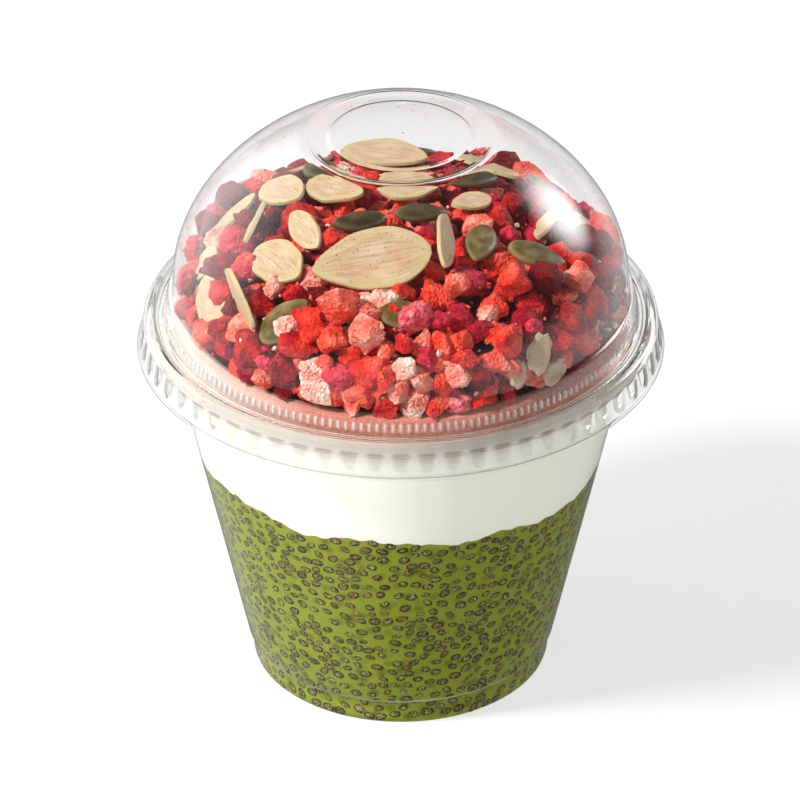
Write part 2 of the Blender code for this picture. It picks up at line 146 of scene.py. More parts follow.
class PuddingColours(bpy.types.PropertyGroup):
    gel: colour("Gel", "Green pudding between the seeds", "#8B962B")
    gel_deep: colour("Deep gel", "Green pudding over deeper seeds", "#626A1E")
    seed_rim: colour("Seed rim", "Rim of a soaked chia seed", "#302C0C")
    # The paler seed middle is partly the seed's own mottle and partly painted sheen of the gel.
    seed_middle_sheen: colour("Seed middle", "Middle of a soaked chia seed", "#AAA470")
    yogurt: colour("Yogurt", "Yogurt", "#F8F9EC")
    # Colour of the yogurt's top: painted shade under the lid's rim, with some tint from the berries above it.
    yogurt_top: colour("Yogurt's top", "Yogurt tinted by the berries above it", "#D5CDC0")
    berry_deep: colour("Deep berry", "Darkest strawberry flesh", "#70070F")
    berry_coral: colour("Coral berry", "Usual strawberry flesh", "#E63C2A")
    berry_pale: colour("Pale berry", "Pale strawberry heart", "#FBE3D2")
    raspberry: colour("Raspberry", "Raspberry bits", "#B41C32")
    almond: colour("Almond", "Cut face of an almond", "#CCB598")
    pumpkin: colour("Pumpkin seed", "Skin of a pumpkin seed", "#5E4E22")
    floor: colour("Floor", "Studio floor", "#8C8C8C")


def sizes(kind):
    return getattr(bpy.context.scene, kind)


def add_node(tree, kind, inputs=None, stops=(), **settings):
    """Adds one node with its settings, its inputs by name or number, and a ramp's stops.

    An input is a value, a hex colour, a socket to link, or a node whose first output in use is linked.
    """
    node = tree.nodes.new("ShaderNode" + kind)
    for name, value in settings.items():
        setattr(node, name, value)
    for key, value in (inputs or {}).items():
        if isinstance(value, bpy.types.Node):
            value = next(socket for socket in value.outputs if socket.enabled)
        if isinstance(value, bpy.types.NodeSocket):
            tree.links.new(value, node.inputs[key])
        else:
            node.inputs[key].default_value = hex_colour(value) if isinstance(value, str) else value
    for number, (place, shade) in enumerate(stops):
        elements = node.color_ramp.elements
        element = elements[number] if number < 2 else elements.new(place)
        element.position = place
        element.color = hex_colour(shade) if isinstance(shade, str) else shade
    return node


def made_of(name, finish, *choices):
    """A new material from one of the finishes below, which build their shaders from nodes and colours."""
    material = bpy.data.materials.new(name)
    material.use_nodes = True
    material.node_tree.nodes.clear()
    add = functools.partial(add_node, material.node_tree)
    add("OutputMaterial", {"Surface": finish(add, sizes("pudding_colours"), *choices)})
    return material


def clear_pet_sheet(add, tones, shadow):
    """Thermoformed PET sheet: clear, glossy and seen by its bright and dark edges. Its creases, ticks and
    ledge are milk white, a painted highlight with some crease whitening; its cut edge and flute tops get
    painted dark lines, and its deep flutes a greyer tint as painted shade.
    """
    # Milk white in the creases, ticks and ledge: a painted highlight, with some crease whitening.
    crease = add("Attribute", attribute_name="milky").outputs["Fac"]
    ribbed = add("Attribute", attribute_name="ribbed").outputs["Fac"]
    # A greyer tint where the flutes are pressed in deep: painted shade.
    thick = add("Mix", {0: ribbed, 6: (0.972, 0.974, 0.97, 1), 7: (0.81, 0.812, 0.806, 1)}, data_type="RGBA")
    # A dark grey at the skirt's lower edge and across the flutes' tops: painted dark lines for the dark edges
    # that refraction gives.
    cut_edge = add("Attribute", attribute_name="cut_edge").outputs["Fac"]
    tint = add("Mix", {0: cut_edge, 6: thick, 7: (0.3, 0.29, 0.28, 1)}, data_type="RGBA")
    sheet = add("BsdfPrincipled", {
        "Base Color": tint, "Roughness": 0.0, "IOR": 1.36, "Transmission Weight": 1.0,
    })
    lamp = add("BsdfTransparent", {"Color": (shadow, shadow, shadow, 1)})
    path = add("LightPath")
    both = add("MixShader", {0: path.outputs["Is Shadow Ray"], 1: sheet, 2: lamp})
    front = add("BsdfDiffuse", {"Color": (0.84, 0.83, 0.8, 1)})
    through = add("BsdfTranslucent", {"Color": (0.84, 0.83, 0.8, 1)})
    milky = add("MixShader", {0: 0.5, 1: front, 2: through})
    return add("MixShader", {0: crease, 1: both, 2: milky})


def matcha_gel(add, tones):
    """Chia gel coloured with matcha: moist, a little see-through, its deeper seeds hazy darker spots."""
    place = add("TexCoord").outputs["Object"]
    deep = add("TexVoronoi", {"Vector": place, "Scale": 1 / (2.6 * MM)})
    spots = add("MapRange", {"Value": deep, "From Min": 0.16, "From Max": 0.46, "To Min": 1.5, "To Max": 0.0})
    wash = add("TexNoise", {"Vector": place, "Scale": 1 / (7 * MM), "Detail": 3.0})
    thickness = add("Math", {0: spots, 1: wash}, operation="MULTIPLY")
    shade = add("Mix", {0: thickness, 6: tones.gel, 7: tones.gel_deep}, data_type="RGBA")
    grains = add("TexNoise", {"Vector": place, "Scale": 1 / (0.5 * MM), "Detail": 2.0})
    light = add("MapRange", {"Value": grains, "To Min": 0.82, "To Max": 1.18})
    final = add("VectorMath", {0: shade, "Scale": light}, operation="SCALE")
    return add("BsdfPrincipled", {
        "Base Color": final, "Roughness": 0.4, "IOR": 1.35, "Specular IOR Level": 0.1,
        "Subsurface Weight": 0.15, "Subsurface Radius": (1.0, 1.0, 0.4), "Subsurface Scale": 0.8 * MM,
    })


def soaked_seed(add, tones):
    """Soaked chia seeds, mottled and moist: dark olive brown round the edge and grey beige in the middle, the
    paler middle partly painted sheen of the gel over them, with white specks as painted glints.
    """
    middle = add("Attribute", attribute_name="middle").outputs["Fac"]
    tone = add("Attribute", attribute_name="tone").outputs["Fac"]
    place = add("TexCoord").outputs["Object"]
    mottle = add("TexNoise", {"Vector": place, "Scale": 1 / (0.35 * MM), "Detail": 3.0})
    raised = add("Math", {0: mottle, 1: 2.6, 2: -1.32}, operation="MULTIPLY_ADD")
    # The middle of each seed's face is made paler: partly painted sheen of the gel over it.
    lit = add("Math", {0: middle, 1: raised}, operation="ADD")
    spread = add("MapRange", {"Value": lit, "From Min": 0.56, "From Max": 1.15})
    # White specks in the seeds' middles: painted glints.
    glints = add("MapRange", {"Value": lit, "From Min": 1.24, "From Max": 1.4, "To Max": 0.8})
    shade = add("Mix", {0: spread, 6: tones.seed_rim, 7: tones.seed_middle_sheen}, data_type="RGBA")
    kind = add("ValToRGB", {"Fac": tone}, stops=[
        (0.0, "#A8A688"), (1.0, "#FFFAE0"), (0.5, "#EBE2B8"), (0.9, "#DCB884"),
    ])
    final = add("Mix", {0: 1.0, 6: shade, 7: kind}, data_type="RGBA", blend_type="MULTIPLY")
    glinted = add("Mix", {0: glints, 6: final, 7: "#E6DEC8"}, data_type="RGBA")
    return add("BsdfPrincipled", {"Base Color": glinted, "Roughness": 0.35, "Specular IOR Level": 0.25})


def strained_yogurt(add, tones):
    """Strained yogurt: dense, warm white and softly moist, and darker beige near its top: painted shade under
    the lid's rim, with some tint from the berries above it.
    """
    place = add("TexCoord").outputs["Object"]
    wash = add("TexNoise", {"Vector": place, "Scale": 1 / (9 * MM), "Detail": 2.0})
    light = add("MapRange", {"Value": wash, "To Min": 0.97, "To Max": 1.02})
    level = add("SeparateXYZ", {0: place})
    # Towards its top the yogurt turns darker beige: painted shade under the lid's rim, with some berry tint.
    painted_shade_near_top = add("MapRange", {
        "Value": level.outputs["Z"], "From Min": 64.5 * MM, "From Max": 68.0 * MM,
    }, interpolation_type="SMOOTHSTEP")
    tinted = add("Mix", {0: painted_shade_near_top, 6: tones.yogurt, 7: tones.yogurt_top}, data_type="RGBA")
    final = add("VectorMath", {0: tinted, "Scale": light}, operation="SCALE")
    return add("BsdfPrincipled", {
        "Base Color": final, "Roughness": 0.38, "IOR": 1.38, "Specular IOR Level": 0.2,
        "Subsurface Weight": 0.2, "Subsurface Radius": (1.0, 0.9, 0.7), "Subsurface Scale": 1.5 * MM,
    })


def dried_strawberry(add, tones, shift=0.0):
    """Freeze-dried strawberry: dry, matt, from deep red to nearly white, pitted like fine foam."""
    place = add("TexCoord").outputs["Object"]
    tone = add("Attribute", attribute_name="tone").outputs["Fac"]
    wash = add("TexNoise", {"Vector": place, "Scale": 1 / (3.0 * MM), "Detail": 2.0})
    pits = add("TexVoronoi", {"Vector": place, "Scale": 1 / (0.55 * MM)})
    swing = add("Math", {0: wash, 1: 0.85, 2: shift - 0.52}, operation="MULTIPLY_ADD")
    pitted = add("Math", {0: pits, 1: -0.16, 2: 0.07}, operation="MULTIPLY_ADD")
    first = add("Math", {0: tone, 1: swing}, operation="ADD")
    depth = add("Math", {0: first, 1: pitted}, operation="ADD", use_clamp=True)
    shade = add("ValToRGB", {"Fac": depth}, stops=[
        (0.0, tones.berry_deep), (1.0, tones.berry_pale), (0.2, "#BE181A"),
        (0.38, tones.berry_coral), (0.58, "#F06852"), (0.79, "#F4A490"),
    ])
    relief = add("TexNoise", {"Vector": place, "Scale": 1 / (0.9 * MM), "Detail": 5.0})
    height = add("Math", {0: relief, 1: 1.6, 2: pits}, operation="MULTIPLY_ADD")
    bump = add("Bump", {"Strength": 0.9, "Distance": 0.42 * MM, "Height": height})
    return add("BsdfPrincipled", {
        "Base Color": shade, "Roughness": 0.72, "Specular IOR Level": 0.35, "Normal": bump,
    })


def dried_raspberry(add, tones):
    """Freeze-dried raspberry bits: crimson, grainy where the small cells broke, with a faint bloom."""
    place = add("TexCoord").outputs["Object"]
    tone = add("Attribute", attribute_name="tone").outputs["Fac"]
    cells = add("TexVoronoi", {"Vector": place, "Scale": 1 / (0.9 * MM)})
    wash = add("TexNoise", {"Vector": place, "Scale": 1 / (1.2 * MM), "Detail": 3.0})
    mixed = add("Math", {0: wash, 1: tone}, operation="ADD")
    spread = add("MapRange", {"Value": mixed, "From Min": 0.4, "From Max": 1.5})
    shade = add("ValToRGB", {"Fac": spread}, stops=[
        (0.0, "#4A0612"), (1.0, "#F0888A"), (0.45, tones.raspberry), (0.75, "#DE4254"),
    ])
    height = add("Math", {0: wash, 1: cells}, operation="SUBTRACT")
    bump = add("Bump", {"Strength": 1.0, "Distance": 0.55 * MM, "Height": height})
    return add("BsdfPrincipled", {
        "Base Color": shade, "Roughness": 0.68, "Specular IOR Level": 0.3, "Normal": bump,
    })


def crushed_berry_and_shade(add, tones):
    """Crushed berry dust and painted shade: near black maroon in the gaps of the heap, which is painted shade
    between the pieces, and pinkish beige dust where it lies at the wall, browner low down and paler on the
    left as painted light.
    """
    place = add("TexCoord").outputs["Object"]
    wash = add("TexNoise", {"Vector": place, "Scale": 1 / (1.5 * MM), "Detail": 4.0})
    # Near black maroon for the gaps of the heap: painted shade between the pieces.
    shade = add("ValToRGB", {"Fac": wash}, stops=[(0.3, "#160104"), (0.7, "#4A0810")])
    grains = add("TexNoise", {"Vector": place, "Scale": 1 / (0.5 * MM), "Detail": 3.0})
    thin = add("ValToRGB", {"Fac": grains}, stops=[(0.35, "#C8705E"), (0.62, "#E6C0A8"), (0.5, "#E09A84")])
    apart = add("SeparateXYZ", {0: place})
    x, y, z = apart.outputs
    reach = add("VectorMath", {0: add("CombineXYZ", {"X": x, "Y": y})}, operation="LENGTH")
    outer = add("MapRange", {"Value": reach, "From Min": 38.6 * MM, "From Max": 39.8 * MM})
    # The dust at the wall turns paler and greyer on the left: painted light.
    painted_light_leftward = add("MapRange", {"Value": x, "From Min": -16 * MM, "From Max": -34 * MM, "To Max": 0.8})
    low = add("MapRange", {"Value": z, "From Min": 75.6 * MM, "From Max": 74.4 * MM, "To Max": 0.65})
    browner = add("Mix", {0: low, 6: thin, 7: "#A85A4A"}, data_type="RGBA")
    wall_dust_and_light = add("Mix", {0: painted_light_leftward, 6: browner, 7: "#D2CABE"}, data_type="RGBA")
    final = add("Mix", {0: outer, 6: shade, 7: wall_dust_and_light}, data_type="RGBA")
    bump = add("Bump", {"Strength": 1.0, "Distance": 0.3 * MM, "Height": wash})
    return add("BsdfPrincipled", {"Base Color": final, "Roughness": 0.85, "Normal": bump})


def sliced_almond(add, tones):
    """Blanched almond, sliced thin: cream, with faint lines along it, a paler edge and a few red specks."""
    place = add("TexCoord")
    tone = add("Attribute", attribute_name="tone").outputs["Fac"]
    edge = add("Attribute", attribute_name="edge").outputs["Fac"]
    along = add("Mapping", {"Vector": place.outputs["UV"], "Scale": (1.5, 9.0, 1.0)})
    grain = add("TexNoise", {"Vector": along, "Scale": 2.2, "Detail": 3.0})
    wash = add("TexNoise", {"Vector": place.outputs["Object"], "Scale": 1 / (4 * MM), "Detail": 2.0})
    streaks = add("MapRange", {"Value": grain, "From Min": 0.36, "From Max": 0.66})
    cream = add("Mix", {0: streaks, 6: tones.almond, 7: "#AC8C68"}, data_type="RGBA")
    rubbed = add("MapRange", {"Value": wash, "From Min": 0.45, "From Max": 0.75, "To Max": 0.7})
    worn = add("Math", {0: rubbed, 1: tone}, operation="MULTIPLY")
    toasted = add("Mix", {0: worn, 6: cream, 7: "#B78E66"}, data_type="RGBA")
    rim = add("MapRange", {"Value": edge, "From Min": 0.55, "From Max": 1.0, "To Max": 0.75})
    rimmed = add("Mix", {0: rim, 6: toasted, 7: "#BEB07C"}, data_type="RGBA")
    specks = add("TexVoronoi", {"Vector": place.outputs["Object"], "Scale": 1 / (1.1 * MM)})
    dots = add("MapRange", {
        "Value": specks, "From Min": 0.11, "From Max": 0.18, "To Min": 0.85, "To Max": 0.0,
    })
    final = add("Mix", {0: dots, 6: rimmed, 7: "#A5574A"}, data_type="RGBA")
    height = add("Math", {0: grain, 1: wash}, operation="ADD")
    bump = add("Bump", {"Strength": 0.35, "Distance": 0.2 * MM, "Height": height})
    return add("BsdfPrincipled", {
        "Base Color": final, "Roughness": 0.55, "Normal": bump,
        "Subsurface Weight": 0.1, "Subsurface Radius": (1.0, 0.8, 0.5), "Subsurface Scale": 0.5 * MM,
    })


def hulled_pumpkin_seed(add, tones):
    """Hulled pumpkin seed: a thin olive skin over a paler nut, satin, with darker lines along it."""
    place = add("TexCoord")
    edge = add("Attribute", attribute_name="edge").outputs["Fac"]
    grain = add("TexNoise", {"Vector": place.outputs["Object"], "Scale": 1 / (2.4 * MM), "Detail": 3.0})
    shade = add("ValToRGB", {"Fac": grain}, stops=[(0.3, "#38290F"), (0.75, "#85764A"), (0.5, tones.pumpkin)])
    rim = add("MapRange", {"Value": edge, "From Min": 0.8, "From Max": 1.0, "To Max": 0.7})
    final = add("Mix", {0: rim, 6: shade, 7: "#8E8450"}, data_type="RGBA")
    # The tone darkens the seeds at the back: painted shade.
    tone = add("Attribute", attribute_name="tone").outputs["Fac"]
    shaded_at_back = add("VectorMath", {0: final, "Scale": tone}, operation="SCALE")
    bump = add("Bump", {"Strength": 0.4, "Distance": 0.2 * MM, "Height": grain})
    return add("BsdfPrincipled", {"Base Color": shaded_at_back, "Roughness": 0.42, "Normal": bump})


def studio_paper(add, tones):
    """White studio paper: matt and even, and lit from below so that shadows stay pale."""
    return add("BsdfPrincipled", {
        "Base Color": tones.floor, "Roughness": 0.9, "Specular IOR Level": 0.1,
        "Emission Color": (1, 1, 1, 1), "Emission Strength": 0.7,
    })


def deselect_all():
    if bpy.context.mode != "OBJECT":
        bpy.ops.object.mode_set(mode="OBJECT")
    bpy.ops.object.select_all(action="DESELECT")


@contextlib.contextmanager
def editing():
    """Edit mode on the active object with all of it selected, and object mode again afterwards."""
    bpy.ops.object.mode_set(mode="EDIT")
    bpy.ops.mesh.select_all(action="SELECT")
    yield
    bpy.ops.object.mode_set(mode="OBJECT")


def apply_modifier(piece, kind, **settings):
    modifier = piece.modifiers.new(kind.lower(), kind)
    for name, value in settings.items():
        setattr(modifier, name, value)
    bpy.ops.object.modifier_apply(modifier=modifier.name)


def mark(piece, name, values):
    """Writes a number for each corner, under the name by which a finish reads it."""
    piece.data.attributes.new(name, "FLOAT", "POINT").data.foreach_set("value", values)


def settle(name, material, nodes=(), smooth_degrees=180.0):
    """Names and shades the active object, puts it at the origin and joins it to the frame."""
    piece = bpy.context.object
    if piece is None or not piece.data.polygons:
        raise RuntimeError(f"{name} has no surface")
    piece.name = piece.data.name = name
    piece.select_set(True)
    bpy.ops.object.transform_apply(location=True, rotation=True, scale=True)
    bpy.ops.object.shade_smooth_by_angle(angle=math.radians(smooth_degrees))
    piece.data.materials.clear()
    piece.data.materials.append(material)
    if nodes:
        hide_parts(*nodes)
    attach(piece, "root")


def turn_outline(outline, sides):
    """Draws a disc out step by step along an outline of (radius, height) into a closed turned body."""
    deselect_all()
    radius, height = outline[0]
    start = (0, 0, height)
    bpy.ops.mesh.primitive_circle_add(vertices=sides, radius=radius, fill_type="NGON", location=start)
    with editing():
        for next_radius, next_height in outline[1:]:
            bpy.ops.mesh.extrude_region_move(TRANSFORM_OT_translate={"value": (0, 0, next_height - height)})
            share = next_radius / radius
            bpy.ops.transform.resize(value=(share, share, 1), center_override=(0, 0, next_height))
            radius, height = next_radius, next_height
        bpy.ops.mesh.select_all(action="SELECT")
        bpy.ops.mesh.normals_make_consistent(inside=False)
    bpy.ops.object.transform_apply(location=True, rotation=True, scale=True)
    return bpy.context.object


def wall_radius(height):
    cup = sizes("pudding_cup")
    return cup.ledge_radius + cup.slope * (height - cup.ledge_height)


def boundary_height(angle):
    """Height of the wavy line where the pudding ends and the yogurt begins."""
    filling = sizes("pudding_filling")
    wide = 0.55 * MM * math.cos(9 * angle + 2.9)
    narrow = 0.30 * MM * math.cos(16 * angle + 4.4) + 0.25 * MM * math.cos(5 * angle + 1.0)
    ragged = 0.16 * MM * math.cos(41 * angle + 0.7) + 0.12 * MM * math.cos(67 * angle + 2.1)
    return filling.pudding_top - filling.slant * math.cos(angle) + wide + narrow + ragged


def inner_side(outline, wall):
    """The inner side of a sheet, its thickness inside an outline that has the outside on its left."""
    inner = []
    for number, (radius, height) in enumerate(outline):
        before, after = outline[max(0, number - 1)], outline[min(len(outline) - 1, number + 1)]
        along = Vector((after[0] - before[0], after[1] - before[1])).normalized()
        inner.append((radius + along.y * wall, height - along.x * wall))
    return inner


def beside(radius, height, *offsets):
    """Points of an outline, each by how many mm it lies out from a radius and up from a height."""
    return [(radius + out * MM, height + up * MM) for out, up in offsets]


def cup_outline():
    """Outside of the cup from its rim down to the middle of its underside."""
    cup = sizes("pudding_cup")
    foot, ledge, rim, top = cup.foot_radius, cup.ledge_height, cup.rim_radius, cup.rim_top
    bend = top - 4.2 * MM
    neck = wall_radius(bend) + 0.4 * MM
    rolled = [
        (neck - 0.1 * MM, top),
        *beside(rim, top, (-1.0, 0), (-0.5, -0.15), (-0.1, -0.7), (0, -1.6), (-0.1, -2.4), (-0.5, -2.8)),
        (neck, top - 3.0 * MM),
    ]
    levels = (bend, 55 * MM, 40 * MM, 25 * MM, 12 * MM, ledge + 0.5 * MM)
    body = [
        *((wall_radius(height), height) for height in levels),
        *beside(cup.ledge_radius, ledge, (-0.06, 0.12), (-0.3, -0.14)),
        *beside(foot, ledge, (0.42, -0.4), (0.18, -0.8)),
        *beside(foot, 0, (0.1, 2.6), (0, 1.2), (-0.2, 0.55), (-0.65, 0.14), (-1.3, 0)),
        *beside(0, 0, (24.2, 0), (23.4, 0.12), (22.8, 0.6), (22.3, 1.3), (21.7, 1.8), (21, 2), (1, 2)),
    ]
    return rolled, body


class AddCup(bpy.types.Operator):
    """Adds the clear tapered cup with its recessed underside, stepped foot and rolled rim"""

    bl_idname = "pudding.add_cup"
    bl_label = "Clear Cup"

    def execute(self, context):
        cup = sizes("pudding_cup")
        rolled, body = cup_outline()
        lip = rolled[0][0] - 0.3 * MM
        inside = inner_side(body, cup.wall)
        outline = [
            *reversed(inside), (lip - cup.wall, rolled[-1][1]), (lip - cup.wall, cup.rim_top - 0.6 * MM),
            (lip - 0.15 * MM, cup.rim_top - 0.15 * MM), *rolled, *body,
        ]
        piece = turn_outline(outline, cup.sides)
        # A milk white line along the ledge: a painted highlight.
        off_ledge = [abs(vert.co.z - cup.ledge_height) for vert in piece.data.vertices]
        mark(piece, "milky", [0.4 if off < 0.25 * MM else 0.0 for off in off_ledge])
        settle("clear_cup", made_of("clear_pet_cup", clear_pet_sheet, 0.97), ["cup"], 50)
        return {"FINISHED"}


def dome_point(rise_angle, wall=0.0):
    """Radius and height on the dome, or inside it by the thickness of its wall."""
    lid = sizes("pudding_lid")
    share = math.sin(rise_angle)
    reach = (1 - share**lid.dome_power) ** (1 / lid.dome_power)
    return (lid.dome_radius - wall) * reach, lid.dome_start + (lid.dome_rise - wall) * share


def dome_inside_radius(height):
    """Radius of the lid's inner side at a height."""
    lid = sizes("pudding_lid")
    widest = lid.dome_radius - lid.wall
    if height < lid.dome_start:
        levels = [lid.dome_start + step * MM for step in (-5.0, -4.0, -2.7, -2.2, -1.6, 0.0)]
        wider = [step * MM for step in (1.3, 1.1, 0.7, 0.25, 0.1, 0.0)]
        return widest + float(np.interp(height, levels, wider))
    share = min(1.0, (height - lid.dome_start) / (lid.dome_rise - lid.wall))
    return widest * (1 - share**lid.dome_power) ** (1 / lid.dome_power)


def clear_of_lid(shape, matrix):
    """Moves a copy of a shape straight in from the lid until it stays just inside it."""
    matrix = matrix.copy()
    for _ in range(4):
        turn = np.array(matrix)
        spots = shape[0] @ turn[:3, :3].T + turn[:3, 3]
        highest = [dome_inside_radius(height) for height in spots[:, 2]]
        over = float((np.hypot(spots[:, 0], spots[:, 1]) - np.array(highest)).max()) + 0.1 * MM
        if over <= 0:
            break
        inward = Vector((matrix.translation.x, matrix.translation.y, 0)).normalized()
        matrix.translation -= inward * over
    return matrix


def step_round(vert, sides):
    """The number of a corner's step round the lid, counted from its back."""
    return round((math.atan2(vert.co.y, vert.co.x) - math.pi / 2) / math.tau * sides)


def press_rows(piece, sides, period, rows):
    """Moves parts of the turned rings in or out.

    A row gives the lowest and highest level, the inner and outer radius, and how far each phase moves.
    """
    with editing():
        bpy.ops.mesh.select_mode(type="VERT")
        for low, high, inner, outer, moves in rows:
            for phase, move in moves.items():
                if abs(move) < 1e-7:
                    continue
                bpy.ops.mesh.select_all(action="DESELECT")
                bm = bmesh.from_edit_mesh(piece.data)
                for vert in bm.verts:
                    if low <= vert.co.z <= high and inner <= math.hypot(vert.co.x, vert.co.y) <= outer:
                        vert.select = step_round(vert, sides) % period == phase
                bm.select_flush(True)
                bmesh.update_edit_mesh(piece.data)
                share = 1 + move / (0.5 * (inner + outer))
                bpy.ops.transform.resize(value=(share, share, 1), center_override=(0, 0, low))


def flute_share(phase, fall):
    """How deep the skirt is pressed in, 0 to 1, at one of the steps of a flute and a share of its height."""
    half = (0.37 - 0.16 * fall) * (1 if fall < 0.7 else math.sqrt(max(0.0, 1 - ((fall - 0.7) / 0.31) ** 2)))
    off = min(phase, FLUTE_STEPS - phase) / FLUTE_STEPS
    inward = max(0.0, min(1.0, (half - off) / 0.2 + 0.5))
    return inward * inward * (3 - 2 * inward)


class AddLid(bpy.types.Operator):
    """Adds the clear domed lid with its fluted skirt, rim band, trough, ticked neck and raised disc"""

    bl_idname = "pudding.add_lid"
    bl_label = "Domed Lid"

    def execute(self, context):
        lid = sizes("pudding_lid")
        wall, top, plateau, disc = lid.wall, lid.top, lid.plateau_radius, lid.disc_radius
        rim, rim_z, neck, bottom = lid.rim_radius, lid.rim_height, lid.neck_radius, lid.skirt_bottom
        skirt = lid.skirt_radius - 0.01 * MM
        share = ((disc + 0.8 * MM) / lid.dome_radius) ** lid.dome_power
        highest = math.asin((1 - share) ** (1 / lid.dome_power))
        steps = 26
        dome = [dome_point(highest * (steps - step) / steps) for step in range(steps + 1)]
        groove = dome[0][1] - 0.24 * MM
        flute_rows = [bottom + (5.1 - 0.42 * row) * MM for row in range(10)]
        slope = (skirt - 0.35 * MM - rim - 1.45 * MM) / (flute_rows[0] - bottom - 0.9 * MM)

        def skirt_at(height):
            return rim + 1.45 * MM + slope * (flute_rows[0] - height)

        crown = [
            *beside(plateau, top, (-1.2, 0), (-0.6, -0.03), (-0.25, -0.15), (0.02, -0.35)),
            *beside(plateau, groove, (0.26, 0.16), (0.5, 0.04), (0.9, 0)),
            *beside(disc, groove, (-0.5, 0), (-0.2, 0.03), (0.05, 0.09), (0.3, 0.16), (0.55, 0.21)),
        ]
        waist = [
            *beside(lid.dome_radius, 0, (0.1, 78.4), (0.28, 77.75)),
            *beside(neck, 0, (-0.95, 77.5), (-0.68, 77.3), (-0.55, 76.9), (-0.35, 76.0), (-0.2, 75.1)),
            *beside(neck, 0, (-0.02, 74.75), (0.03, 74.5), (0.03, 73.6), (0.08, 73.1)),
        ]
        ridges = beside(
            0, 0, (43.35, 72.66), (43.5, 72.8), (43.65, 72.64), (43.95, 72.62), (44.1, 72.78), (44.25, 72.62),
            (44.55, 72.62), (44.7, 72.78), (44.85, 72.64),
        )
        band = [
            (rim - 0.5 * MM, 72.66 * MM),
            *beside(rim, rim_z, (-0.3, -0.06), (0, 0), (0.5, -0.06), (0.95, -0.32), (1.22, -0.75)),
            (rim + 1.37 * MM, rim_z - 1.2 * MM),
            *((skirt_at(height), height) for height in flute_rows),
            *beside(skirt, bottom, (-0.35, 0.9), (-0.28, 0.6), (-0.1, 0.46), (0, 0.28), (-0.02, 0.12)),
            (skirt - 0.12 * MM, bottom),
        ]
        above = [*crown, *dome, *waist]
        plain = [*above, *beside(0, 0, (43.35, 72.68), (44.4, 72.62)), *band[1:-1]]
        inside = [*inner_side(plain, wall), (skirt - wall, bottom)]
        sides = FLUTE_STEPS * lid.flutes
        piece = turn_outline([*above, *ridges, *band, *reversed(inside)], sides)
        rows = []
        for number, height in enumerate(flute_rows):
            fall = number / (len(flute_rows) - 1)
            depths = {phase: -lid.flute_depth * flute_share(phase, fall) for phase in range(FLUTE_STEPS)}
            moves = depths if number else {}
            rows.append((height - 0.02 * MM, height + 0.02 * MM, rim - 0.5 * MM, skirt + 0.1 * MM, moves))
        press_rows(piece, sides, FLUTE_STEPS, rows)
        press_rows(piece, sides, TICK_STEPS, [
            (73.4 * MM, 74.7 * MM, neck - 0.1 * MM, neck + 0.1 * MM, {0: lid.tick_height}),
            (74.8 * MM, 77.3 * MM, neck - 0.75 * MM, neck, {0: 0.06 * MM}),
        ])
        milky, ribbed, cut_edge = [], [], []
        for vert in piece.data.vertices:
            z, radius, step = vert.co.z, math.hypot(vert.co.x, vert.co.y), step_round(vert, sides)
            value = deep = dark = 0.0
            # Between the flutes and on the ticks the sheet turns milk white, a painted highlight with some
            # crease whitening; the flute tops and the skirt's lower edge get painted dark lines.
            if radius > rim + 1.2 * MM and z > bottom + 0.8 * MM:
                fall = (flute_rows[0] - z) / (flute_rows[0] - flute_rows[-1])
                deep = flute_share(step % FLUTE_STEPS, fall) if 0 < fall < 1.05 else 0.6
                value = 0.22 * (1 - deep) if 0 < fall < 1.05 else 0.05
                # Across the flutes' tops: a painted dark line.
                dark = 0.5 * deep if abs(z - flute_rows[1]) < 0.1 * MM else 0.0
            elif abs(z - bottom - 0.6 * MM) < 0.1 * MM and radius > skirt - 1.0 * MM:
                dark = 1.0
            elif 73.4 * MM < z < 74.8 * MM and step % TICK_STEPS == 0:
                value = 0.65
            milky.append(value)
            ribbed.append(deep)
            cut_edge.append(dark)
        mark(piece, "milky", milky)
        mark(piece, "ribbed", ribbed)
        mark(piece, "cut_edge", cut_edge)
        settle("domed_lid", made_of("clear_pet_lid", clear_pet_sheet, 0.95), ["lid"], 50)
        return {"FINISHED"}


def filling_radius(height):
    """Radius of what fills the cup: just inside the sheet's inner side, so that no gap shows."""
    return wall_radius(height) - sizes("pudding_cup").wall + sizes("pudding_filling").into_wall


def pudding_side():
    """Outside of the pudding, from the middle of its underside up to just under its wavy edge."""
    cup, filling = sizes("pudding_cup"), sizes("pudding_filling")
    inner = inner_side(cup_outline()[1], cup.wall - filling.into_wall)
    highest = filling.pudding_top - 2.5 * MM
    return [point for point in reversed(inner) if point[1] < highest] + [(filling_radius(highest), highest)]


def make_wavy_edge(piece):
    """Moves the outer ring at the pudding's top onto the wavy line between pudding and yogurt."""
    level = sizes("pudding_filling").pudding_top
    for vert in piece.data.vertices:
        x, y, z = vert.co
        reach = math.hypot(x, y)
        if abs(z - level) < 0.05 * MM and reach > 0.9 * filling_radius(level):
            height = boundary_height(math.atan2(y, x))
            share = filling_radius(height) / reach
            vert.co = Vector((x * share, y * share, height))


class AddPudding(bpy.types.Operator):
    """Adds the green pudding, reaching just into the clear wall"""

    bl_idname = "pudding.add_pudding"
    bl_label = "Chia Pudding"

    def execute(self, context):
        cup, filling = sizes("pudding_cup"), sizes("pudding_filling")
        edge = filling.pudding_top
        widest = filling_radius(edge)
        outline = [*pudding_side(), (widest, edge), (0.8 * widest, edge), (1.0 * MM, edge)]
        piece = turn_outline(outline, 3 * cup.sides)
        make_wavy_edge(piece)
        settle("matcha_pudding", made_of("matcha_chia_gel", matcha_gel), ["chia_pudding"], 60)
        return {"FINISHED"}


